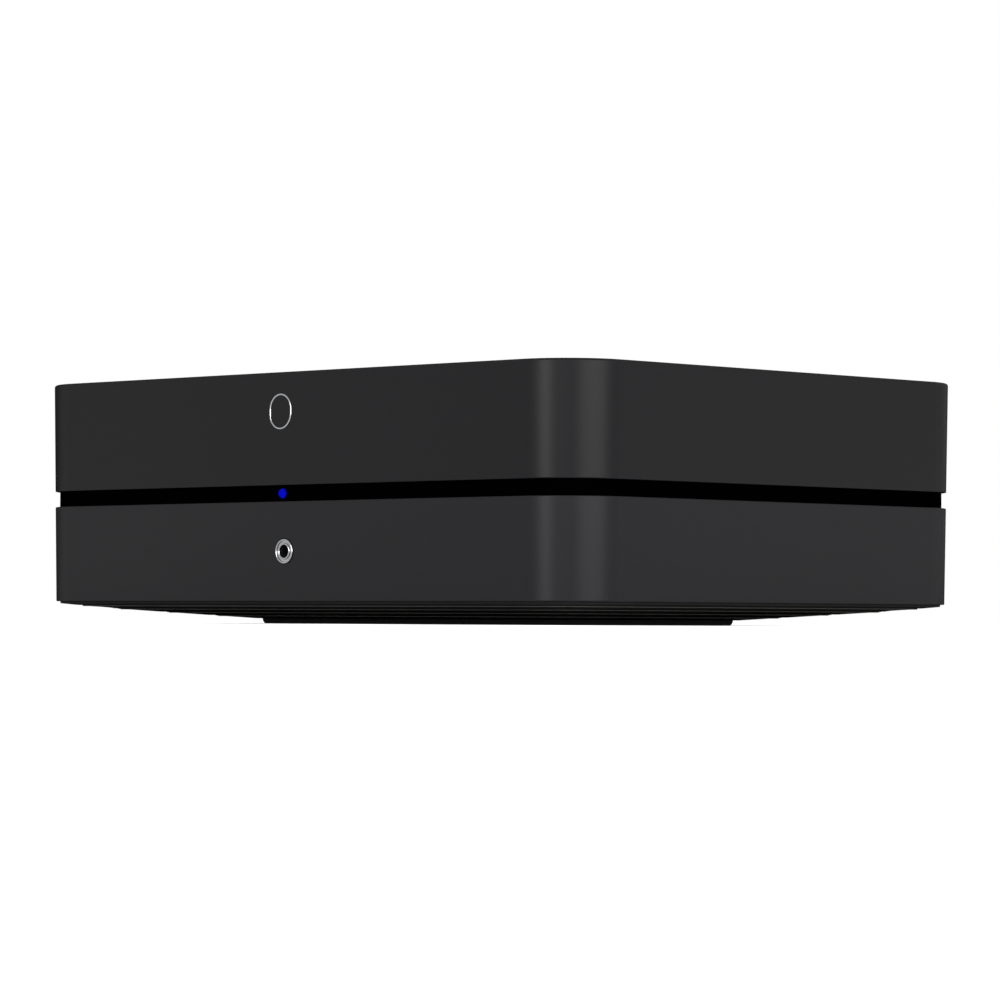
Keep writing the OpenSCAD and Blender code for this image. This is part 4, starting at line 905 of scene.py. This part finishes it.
def fastener():
    """Tree of a socket-head screw at each point: its head along +Z before it is turned."""
    tree = Growth("Fastener")
    turn = tree.size("Turn", "Rotation")
    head_radius = tree.size("Head radius")
    head_height = tree.size("Head height")
    thread_radius = tree.size("Thread radius")
    thread_length = tree.size("Thread length")
    key_radius = tree.size("Key radius")
    head = tree.rod(HEAD_SIDES, head_radius, head_height, head_height * 0.5)
    collar_height = head_height * COLLAR_HEIGHT
    collar = tree.rod(HEAD_SIDES, head_radius * COLLAR_WIDTH, collar_height, collar_height * 0.5)
    key = tree.rod(KEY_SIDES, key_radius, head_height * KEY_LENGTH, head_height * KEY_MIDDLE)
    shank = tree.rod(SHANK_SIDES, thread_radius, thread_length, thread_length * -0.5)
    screw = tree.joined(tree.cut(tree.united(head, collar), key), shank)
    tree.end(tree.copies(tree.start(), tree.moved(screw, (0.0, 0.0, 0.0), turn)), "screw_steel")
    return tree


def base_ribs(number):
    """Tree of ribs round a slope that falls from the case's side: each lies a pitch further in."""
    tree = Growth("Base ribs")
    width = tree.size("Case width")
    depth = tree.size("Case depth")
    radius = tree.size("Corner radius")
    smallest = tree.size("Smallest radius")
    first = tree.size("First inset")
    pitch = tree.size("Pitch")
    height = tree.size("Rim height")
    slope = tree.size("Slope")
    rib_width = tree.size("Rib width")
    rib_height = tree.size("Rib height")
    profile = tree.frame_curve(rib_width, rib_height, rib_height * RIB_EDGE)
    ribs = []
    for k in range(number):
        inset = first + pitch * float(k)
        corner = smallest.maths("MAXIMUM", radius - inset, smallest)
        path = tree.frame_curve(width - inset * 2.0, depth - inset * 2.0, corner)
        path = tree.moved(path, tree.vector(z=height - inset * slope))
        ribs.append(tree.add("GeometryNodeCurveToMesh", {}, {"Curve": path, "Profile Curve": profile}))
    # Painted light: the ribs get the lighter copy of the base's finish
    tree.end(tree.joined(*ribs), "rib_matte")
    return tree


def contact_row():
    """Tree of a row of flat contacts along X."""
    tree = Growth("Contact row")
    number = tree.size("Number", "Int")
    pitch = tree.size("Pitch")
    start = tree.size("Start", "Vector")
    size = tree.size("Size", "Vector")
    line = tree.add(
        "GeometryNodeMeshLine", {"mode": "OFFSET"},
        {"Count": number, "Start Location": start, "Offset": tree.vector(pitch)},
    )
    contact = tree.add("GeometryNodeMeshCube", {}, {"Size": size})
    tree.end(tree.copies(line, contact), "pin_brass")
    return tree


# Operators

class Making:
    """What every operator shares"""

    bl_options = {"REGISTER", "UNDO"}


class STREAMER_OT_upper_shell(Making, bpy.types.Operator):
    """Make the upper shell with its rounded edges, its bosses and the seat of the touch strip"""

    bl_idname = "streamer.upper_shell"
    bl_label = "Upper Shell"

    def execute(self, context):
        sizes = context.scene.streamer_sizes
        plan = CasePlan(sizes)
        edge = sizes.top_round
        shoulder = plan.top - edge
        ceiling = plan.top - sizes.wall
        section = arc(plan.face(shoulder) - edge, shoulder, edge, 90, 0)
        section += plan.lower_edge(plan.seam_high)[::-1]
        section += [(plan.face(z) - sizes.wall, z) for z in (plan.seam_high, ceiling)]
        shell = plan.round_case("upper_shell_skin", section)
        low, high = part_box("touch_panel")
        carve(shell, loft("seat", [strip_ring(sizes, sizes.fit, z) for z in (low.z, high.z + sizes.wall)]))
        merge(shell, plan.boss_tubes(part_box("upper_shell")[0].z, ceiling, sizes.screw_tap))
        dress(smooth(shell), "case_satin", "upper_shell")
        return {"FINISHED"}


class STREAMER_OT_lower_shell(Making, bpy.types.Operator):
    """Make the lower shell with its rounded edges, its bosses, the socket's hole and the rear window"""

    bl_idname = "streamer.lower_shell"
    bl_label = "Lower Shell"

    def execute(self, context):
        sizes = context.scene.streamer_sizes
        plan = CasePlan(sizes)
        section = [(plan.face(plan.bottom) - sizes.wall, plan.bottom)]
        section += plan.lower_edge(plan.bottom) + plan.upper_edge(plan.seam_low)
        section.append((plan.face(plan.seam_low) - sizes.wall, plan.seam_low))
        shell = plan.round_case("lower_shell_skin", section, True)
        ring = middle("jack_ring")
        ring_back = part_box("jack_ring")[1]
        place = facing_front(ring.x, ring_back.y, ring.z)
        through = 3 * sizes.wall
        hole = rods("hole", sizes.jack_hole / 2, -through, through, [place])
        seat = rods("seat", ring_back.x - ring.x + sizes.fit, 0, through, [place])
        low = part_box("audio_panel")[0]
        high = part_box("rear_panel")[1]
        lap = Vector((sizes.panel_lap, 0, sizes.panel_lap))
        beyond = Vector((0, 4 * sizes.wall, 0))
        window = block("window", low + lap, high - lap + beyond)
        carve(shell, hole, seat, window)
        boss_low = plan.head_seat + sizes.post_height
        merge(shell, plan.boss_tubes(boss_low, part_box("lower_shell")[1].z, sizes.screw_hole))
        # Painted light: the lower shell gets the lighter copy of the satin
        dress(smooth(shell), "case_satin", "lower_shell", finish="lower_case_satin")
        return {"FINISHED"}


class STREAMER_OT_band(Making, bpy.types.Operator):
    """Make the recessed band with its tongues, its screw lugs and the lamp's hole"""

    bl_idname = "streamer.band"
    bl_label = "Band"

    def execute(self, context):
        sizes = context.scene.streamer_sizes
        plan = CasePlan(sizes)
        low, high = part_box("mid_band")
        outer = high.y - plan.arc_y
        tongue = plan.face(low.z) - sizes.wall - sizes.fit
        inner = tongue - sizes.band_wall
        section = [
            (inner, low.z), (tongue, low.z), (tongue, plan.seam_low), (outer, plan.seam_low),
            (outer, plan.seam_high), (tongue, plan.seam_high), (tongue, high.z), (inner, high.z),
        ]
        band = plan.round_case("mid_band_skin", section, True)
        lamp = middle("led_lens")
        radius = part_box("led_lens")[1].x - lamp.x - sizes.lens_rim + sizes.lens_fit
        place = facing_front(lamp.x, -plan.half_y, lamp.z)
        carve(band, rods("hole", radius, -plan.half_y * LAMP_HOLE_REACH, 0, [place]))
        lug_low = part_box("lower_shell")[1].z
        lug_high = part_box("upper_shell")[0].z
        merge(band, plan.boss_tubes(lug_low, lug_high, sizes.screw_hole))
        dress(smooth(band), "band_gloss", "mid_band")
        return {"FINISHED"}


class STREAMER_OT_base(Making, bpy.types.Operator):
    """Make the sloped, grooved base and its foot"""

    bl_idname = "streamer.base"
    bl_label = "Base and Foot"

    def execute(self, context):
        sizes = context.scene.streamer_sizes
        base = dress(softened("base_skin", "base_pan", sizes.base_round), "base_matte", "base_pan")
        # Painted shade: the rim in the gap under the lower shell is made dark
        self.paint_rim_shade(base, sizes)
        low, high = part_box("foot_pad")
        self.make_ribs(sizes, high)
        edge = sizes.foot_round
        section = arc(-edge, low.z + edge, edge, -90, 0, steps=8) + [(0, high.z)]
        rings = [
            outline(high.x + across, high.y + across, sizes.foot_corner + across, z, sizes.corner_steps)
            for across, z in section
        ]
        dress(smooth(loft("foot_skin", rings)), "foot_rubber", "foot_pad")
        return {"FINISHED"}

    def paint_rim_shade(self, base, sizes):
        """Painted shade: the base's upright rim, in the gap under the lower shell, gets the dark rubber
        finish.
        """
        base.data.materials.append(finish_of("foot_rubber"))
        rim = CasePlan(sizes).bottom - sizes.base_rim
        for face in base.data.polygons:
            face.material_index = 1 if face.center.z > rim and abs(face.normal.z) < UPRIGHT else 0

    def make_ribs(self, sizes, foot):
        """Raised ribs round the slope between the case's side and the foot."""
        plan = CasePlan(sizes)
        rim = plan.half_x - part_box("base_pan")[1].x
        top = plan.bottom - sizes.base_rim
        slope = (top - foot.z) / (plan.half_x - foot.x - rim)
        ribs = base_ribs(sizes.rib_count).grow(
            empty_piece("base_ribs"), case_width=2 * plan.half_x, case_depth=2 * plan.half_y,
            corner_radius=sizes.corner_radius, smallest_radius=sizes.rib_corner, first_inset=sizes.rib_start,
            pitch=sizes.rib_pitch, rim_height=top + rim * slope, slope=slope, rib_width=sizes.rib_width,
            rib_height=2 * sizes.rib_height,
        )
        ribs = smooth(ribs, SMALL_SHARP_ANGLE)
        # Painted light: the ribs are shown lighter than the base they stand on
        dress(ribs, "base_matte", body=body_of("base_pan"), finish="rib_matte")


class STREAMER_OT_front(Making, bpy.types.Operator):
    """Make the lamp, the headphone socket's ring and the plain mark on the front"""

    bl_idname = "streamer.front"
    bl_label = "Lamp, Ring and Mark"

    def execute(self, context):
        sizes = context.scene.streamer_sizes
        self.make_lamp(sizes)
        self.make_ring(sizes)
        self.make_mark(sizes)
        return {"FINISHED"}

    def make_lamp(self, sizes):
        """A lens with a shallow dome and a rim behind the band."""
        low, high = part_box("led_lens")
        back = high.y - sizes.lens_rim_depth
        rim = (high.x - low.x) / 2
        radius = rim - sizes.lens_rim
        reach = back - low.y
        dome = (radius ** 2 + sizes.lens_dome ** 2) / (2 * sizes.lens_dome)
        sweep = math.asin(radius / dome)
        section = [(0, -sizes.lens_rim_depth), (rim, -sizes.lens_rim_depth), (rim, 0), (radius, 0)]
        for step in range(DOME_STEPS + 1):
            a = sweep * (1 - step / DOME_STEPS)
            section.append((dome * math.sin(a), reach - dome * (1 - math.cos(a))))
        place = facing_front((low.x + high.x) / 2, back, (low.z + high.z) / 2)
        dress(smooth(turned("lamp_lens", section, [place])), "lamp_blue", "led_lens")

    def make_ring(self, sizes):
        """A ring with two round beads and a groove between them."""
        low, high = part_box("jack_ring")
        outer = (high.x - low.x) / 2
        height = high.y - low.y
        bore = sizes.jack_bore / 2
        bead = sizes.jack_bead / 2
        barrel = sizes.jack_hole / 2 - sizes.fit
        floor = height - sizes.jack_groove
        lip = height - sizes.jack_lip
        section = [(barrel, 0), (outer, 0)]
        section += arc(outer - bead, height - bead, bead, 0, 180, steps=12)
        section += [(outer - 2 * bead, floor), (bore + 2 * bead, floor)]
        section += arc(bore + bead, height - bead, bead, 0, 180, steps=12)
        section += [(bore, lip), (barrel, lip)]
        place = facing_front((low.x + high.x) / 2, high.y, (low.z + high.z) / 2)
        dress(smooth(turned("socket_ring", section, [place], True, steps=96)), "bright_chrome", "jack_ring")

    def make_mark(self, sizes):
        """A raised outline with round ends, on the leaning front."""
        low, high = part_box("front_badge")
        centre = (low + high) / 2
        half_x = (high.x - low.x) / 2
        half_z = (high.z - low.z) / 2
        plan = CasePlan(sizes)
        depth = high.y - low.y
        place = facing_front(centre.x, -plan.arc_y - plan.face(centre.z), centre.z)
        place = place @ Matrix.Rotation(-sizes.draft, 4, "X")
        edge = sizes.badge_round
        proud = sizes.badge_proud
        section = [(0, -depth)] + arc(edge, proud - edge, edge, 180, 90)
        section += arc(sizes.badge_line - edge, proud - edge, edge, 90, 0) + [(sizes.badge_line, -depth)]
        rings = [
            [place @ point for point in outline(half_x - inset, half_z - inset, half_x - inset, up, steps=20)]
            for inset, up in section
        ]
        dress(smooth(loft("front_mark", rings, True)), "bright_chrome", "front_badge")


class STREAMER_OT_touch_strip(Making, bpy.types.Operator):
    """Make the touch strip in the top"""

    bl_idname = "streamer.touch_strip"
    bl_label = "Touch Strip"

    def execute(self, context):
        sizes = context.scene.streamer_sizes
        low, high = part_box("touch_panel")
        edge = sizes.touch_round
        section = [(0, low.z)] + arc(edge, high.z - edge, edge, 180, 90, steps=8)
        rings = [strip_ring(sizes, -inset, z) for inset, z in section]
        dress(smooth(loft("touch_strip", rings)), "band_gloss", "touch_panel", finish="strip_gloss")
        return {"FINISHED"}


class STREAMER_OT_rear(Making, bpy.types.Operator):
    """Make the rear panel, its sockets, the switch, the button and the shutters with rounded edges"""

    bl_idname = "streamer.rear"
    bl_label = "Rear Panel and Sockets"

    def execute(self, context):
        sizes = context.scene.streamer_sizes
        for node in REAR_NODES:
            dress(softened(node + "_skin", node, sizes.edge_round), SLOTS[node], node)
        self.line_inside(bpy.data.objects["ethernet_jack_skin"], sizes)
        self.make_marks(bpy.data.objects["power_rocker_skin"], sizes)
        return {"FINISHED"}

    def line_inside(self, socket, sizes):
        """Black plastic inside the network socket's metal shield."""
        socket.data.materials.append(finish_of("socket_black"))
        low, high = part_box("ethernet_jack")
        edge = 2 * sizes.edge_round
        for face in socket.data.polygons:
            inside = [low[k] + edge < face.center[k] < high[k] - edge for k in range(3)]
            face.material_index = 1 if all(inside) else 0

    def make_marks(self, rocker, sizes):
        """A stroke and a ring on the two ends of the switch."""
        low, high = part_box("power_rocker")
        centre = (low + high) / 2
        reach = (high.z - low.z) * MARK_PLACE
        thin = sizes.mark_line / 4
        for name, side in (("rocker_stroke", 1), ("rocker_ring", -1)):
            start = Vector((centre.x, high.y + sizes.wall, centre.z + side * reach))
            hit, spot, normal, _ = rocker.ray_cast(start, (0, -1, 0))
            if not hit:
                raise RuntimeError("the switch's face wasn't found")
            place = Matrix.Translation(spot) @ normal.to_track_quat("Z", "X").to_matrix().to_4x4()
            outer = sizes.mark_size / 2
            if side > 0:
                half = Vector((outer, sizes.mark_line / 2, thin))
                mark = block(name, -half, half)
                mark.data.transform(place)
            else:
                inner = outer - sizes.mark_line
                section = [(inner, -thin), (outer, -thin), (outer, thin), (inner, thin)]
                mark = turned(name, section, [place], True)
            dress(mark, "mark_white", body=body_of("power_rocker"))


class STREAMER_OT_contacts(Making, bpy.types.Operator):
    """Make the contacts in the network socket and on the USB tongue"""

    bl_idname = "streamer.contacts"
    bl_label = "Contacts"

    def execute(self, context):
        sizes = context.scene.streamer_sizes
        tree = contact_row()
        low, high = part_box("ethernet_jack")
        size = Vector((sizes.pin_width, (high.y - low.y) / 2, sizes.pin_depth))
        height = low.z + sizes.port_roof - sizes.pin_depth / 2
        self.make_row(
            tree, "network_contacts", "ethernet_jack", sizes.network_pins, sizes.network_pitch, height, size
        )
        low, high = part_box("usb_tongue")
        size = Vector((sizes.usb_pitch / 2, (high.y - low.y) * USB_CONTACT, sizes.pin_depth / 4))
        self.make_row(tree, "usb_contacts", "usb_tongue", sizes.usb_pins, sizes.usb_pitch, low.z, size)
        return {"FINISHED"}

    def make_row(self, tree, name, node, number, pitch, height, size):
        """A row of contacts across the middle of a node."""
        centre = middle(node)
        start = Vector((centre.x - pitch * (number - 1) / 2, centre.y, height))
        row = tree.grow(empty_piece(name), number=number, pitch=pitch, start=start, size=size)
        dress(row, "pin_brass", body=body_of(node))


class STREAMER_OT_screws(Making, bpy.types.Operator):
    """Make the screws of the case and the rear panel"""

    bl_idname = "streamer.screws"
    bl_label = "Screws"

    def execute(self, context):
        sizes = context.scene.streamer_sizes
        plan = CasePlan(sizes)
        tree = fastener()
        seats = [Vector((place.x, place.y, plan.head_seat)) for place in plan.bosses()]
        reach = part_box("case_screws")[1].z - plan.head_seat
        self.make(tree, "case_fasteners", "case_screws", seats, (math.pi, 0, 0), reach, sizes)
        low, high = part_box("panel_screws")
        radius = sizes.screw_head / 2
        seat = high.y - sizes.screw_head_height
        seats = [Vector((x, seat, (low.z + high.z) / 2)) for x in (low.x + radius, high.x - radius)]
        self.make(tree, "panel_fasteners", "panel_screws", seats, (-math.pi / 2, 0, 0), seat - low.y, sizes)
        return {"FINISHED"}

    def make(self, tree, name, node, seats, turn, reach, sizes):
        """A screw at each seat, which reaches that far below its head."""
        screws = tree.grow(
            empty_piece(name, seats), turn=turn, head_radius=sizes.screw_head / 2,
            head_height=sizes.screw_head_height / COLLAR_HEIGHT, thread_radius=sizes.screw_thread / 2,
            thread_length=reach, key_radius=sizes.screw_key / 2,
        )
        dress(smooth(cleaned(screws), SMALL_SHARP_ANGLE), "screw_steel", node)
        # Painted shade in the screws' key sockets
        self.paint_key_shade(screws, seats, turn, sizes)

    def paint_key_shade(self, screws, seats, turn, sizes):
        """Painted shade: the hexagon sockets of the heads get the black finish, for the shade in their
        recesses.
        """
        screws.data.materials.append(finish_of("socket_black"))
        back = Euler(turn).to_matrix().inverted()
        low = sizes.screw_head_height * KEY_SHADE_LOW
        high = sizes.screw_head_height * KEY_SHADE_HIGH
        for face in screws.data.polygons:
            spot = min((back @ (face.center - seat) for seat in seats), key=lambda way: way.length)
            inside = math.hypot(spot.x, spot.y) < sizes.screw_key / 2 and low < spot.z < high
            face.material_index = 1 if inside else 0


class STREAMER_OT_inside(Making, bpy.types.Operator):
    """Give the pieces that stay as they are in the frame their finishes"""

    bl_idname = "streamer.inside"
    bl_label = "Inner Finishes"

    def execute(self, context):
        for name, node in frame["nodes"].items():
            node.data.materials.clear()
            node.data.materials.append(finish_of(SLOTS[name]))
        return {"FINISHED"}


class STREAMER_OT_studio(Making, bpy.types.Operator):
    """Make the camera, the floor, the lights and the white background"""

    bl_idname = "streamer.studio"
    bl_label = "Studio"

    def execute(self, context):
        studio = context.scene.streamer_studio
        self.set_camera(context.scene, studio)
        self.make_background(context.scene, studio)
        self.make_floor(studio)
        for name, azimuth, width in BOXES:
            self.make_box(f"{name}_box", azimuth, width, getattr(studio, f"{name}_light"))
        context.scene.view_settings.view_transform = "Standard"
        return {"FINISHED"}

    def set_camera(self, scene, studio):
        """A camera near the floor, turned, tilted and rolled as the view asks."""
        yaw = studio.azimuth + studio.turn
        level = math.cos(studio.pitch)
        ahead = Vector((-math.sin(yaw) * level, math.cos(yaw) * level, math.sin(studio.pitch)))
        right = Vector((math.cos(yaw), math.sin(yaw), 0))
        up = right.cross(ahead)
        turn_cos = math.cos(studio.roll)
        turn_sin = math.sin(studio.roll)
        rolled_right = turn_cos * right + turn_sin * up
        rolled_up = turn_cos * up - turn_sin * right
        axes = Matrix((rolled_right, rolled_up, -ahead)).transposed()
        spot = Vector((
            math.sin(studio.azimuth) * studio.distance,
            -math.cos(studio.azimuth) * studio.distance,
            studio.height,
        ))
        camera = bpy.data.objects.new("Camera", bpy.data.cameras.new("Camera"))
        camera.data.sensor_width = SENSOR_WIDTH
        camera.data.lens = studio.focal_pixels / IMAGE_WIDTH * SENSOR_WIDTH
        camera.data.clip_start = VIEW_START
        camera.matrix_world = Matrix.Translation(spot) @ axes.to_4x4()
        scene.collection.objects.link(camera)
        scene.camera = camera

    def make_background(self, scene, studio):
        """White where it is seen, and a softer light for the rest."""
        world = bpy.data.worlds.new("Studio")
        world.use_nodes = True
        world.node_tree.nodes.clear()
        scene.world = world
        nodes = Nodes(world.node_tree)
        white = nodes.add("ShaderNodeBackground", {}, {"Color": grey(1), "Strength": 1.0})
        soft = nodes.add("ShaderNodeBackground", {}, {"Color": grey(1), "Strength": studio.ambient})
        mixed = nodes.add("ShaderNodeMixShader", {}, {0: seen(nodes), 1: soft, 2: white})
        nodes.add("ShaderNodeOutputWorld", {}, {"Surface": mixed})

    def make_floor(self, studio):
        """A pale floor that adds a little white where it is seen, so that it ends in the background."""
        mesh = bpy.data.meshes.new("floor")
        corners = [(sx * FLOOR_HALF, sy * FLOOR_HALF, 0) for sx, sy in ((-1, -1), (1, -1), (1, 1), (-1, 1))]
        mesh.from_pydata(corners, [], [(0, 1, 2, 3)])
        floor = new_object("floor", mesh)
        finish = Finish("floor_paper")
        paper = finish.noise(scale=40, detail=2)
        tint = finish.shades(paper, studio.floor_colour, start=0.99, end=1.01)
        matt = finish.add("ShaderNodeBsdfDiffuse", {}, {"Color": tint})
        reach = finish.add("ShaderNodeVectorMath", {"operation": "LENGTH"}, {0: finish.where}, "Value")
        white = finish.add("ShaderNodeMapRange", {}, {
            "Value": reach, "From Min": FLOOR_NEAR, "From Max": FLOOR_FAR,
            "To Min": studio.floor_lift, "To Max": 1.0,
        })
        lift = finish.add("ShaderNodeEmission", {}, {"Color": grey(1), "Strength": seen(finish) * white})
        mesh.materials.append(finish.done(finish.add("ShaderNodeAddShader", {}, {0: matt, 1: lift})))

    def make_box(self, name, azimuth, width, radiance):
        """An upright soft box on the floor, at an angle from the front towards the right."""
        a = math.radians(azimuth)
        light = bpy.data.lights.new(name, "AREA")
        light.shape = "RECTANGLE"
        light.size = width
        light.size_y = BOX_HEIGHT
        light.energy = radiance * math.pi * width * BOX_HEIGHT
        lamp = bpy.data.objects.new(name, light)
        spot = Vector((math.sin(a) * BOX_DISTANCE, -math.cos(a) * BOX_DISTANCE, BOX_HEIGHT / 2 + BOX_LIFT))
        turn = Matrix.Rotation(a, 4, "Z") @ Matrix.Rotation(math.pi / 2, 4, "X")
        lamp.matrix_world = Matrix.Translation(spot) @ turn
        lamp.visible_camera = False
        bpy.context.scene.collection.objects.link(lamp)


# Panel and registration

class STREAMER_PT_panel(bpy.types.Panel):
    """Sizes, colours and studio of the streamer"""

    bl_idname = "STREAMER_PT_panel"
    bl_label = "Streamer"
    bl_space_type = "VIEW_3D"
    bl_region_type = "UI"
    bl_category = "Streamer"

    def draw(self, context):
        for operator in OPERATORS:
            self.layout.operator(operator.bl_idname)
        for name, group in GROUPS.items():
            column = self.layout.column()
            for value in group.__annotations__:
                column.prop(getattr(context.scene, name), value)


OPERATORS = (
    STREAMER_OT_studio, STREAMER_OT_upper_shell, STREAMER_OT_lower_shell, STREAMER_OT_band, STREAMER_OT_base,
    STREAMER_OT_front, STREAMER_OT_touch_strip, STREAMER_OT_rear, STREAMER_OT_contacts, STREAMER_OT_screws,
    STREAMER_OT_inside,
)

GROUPS = {
    "streamer_sizes": StreamerSizes, "streamer_colours": StreamerColours, "streamer_studio": StreamerStudio,
}

CLASSES = (*GROUPS.values(), *OPERATORS, STREAMER_PT_panel)


def register():
    for cls in CLASSES:
        bpy.utils.register_class(cls)
    for name, group in GROUPS.items():
        setattr(bpy.types.Scene, name, bpy.props.PointerProperty(type=group))


def unregister():
    for name in GROUPS:
        delattr(bpy.types.Scene, name)
    for cls in reversed(CLASSES):
        bpy.utils.unregister_class(cls)


def main():
    register()
    for operator in OPERATORS:
        group, name = operator.bl_idname.split(".")
        getattr(getattr(bpy.ops, group), name)()


if __name__ == "__main__":
    main()
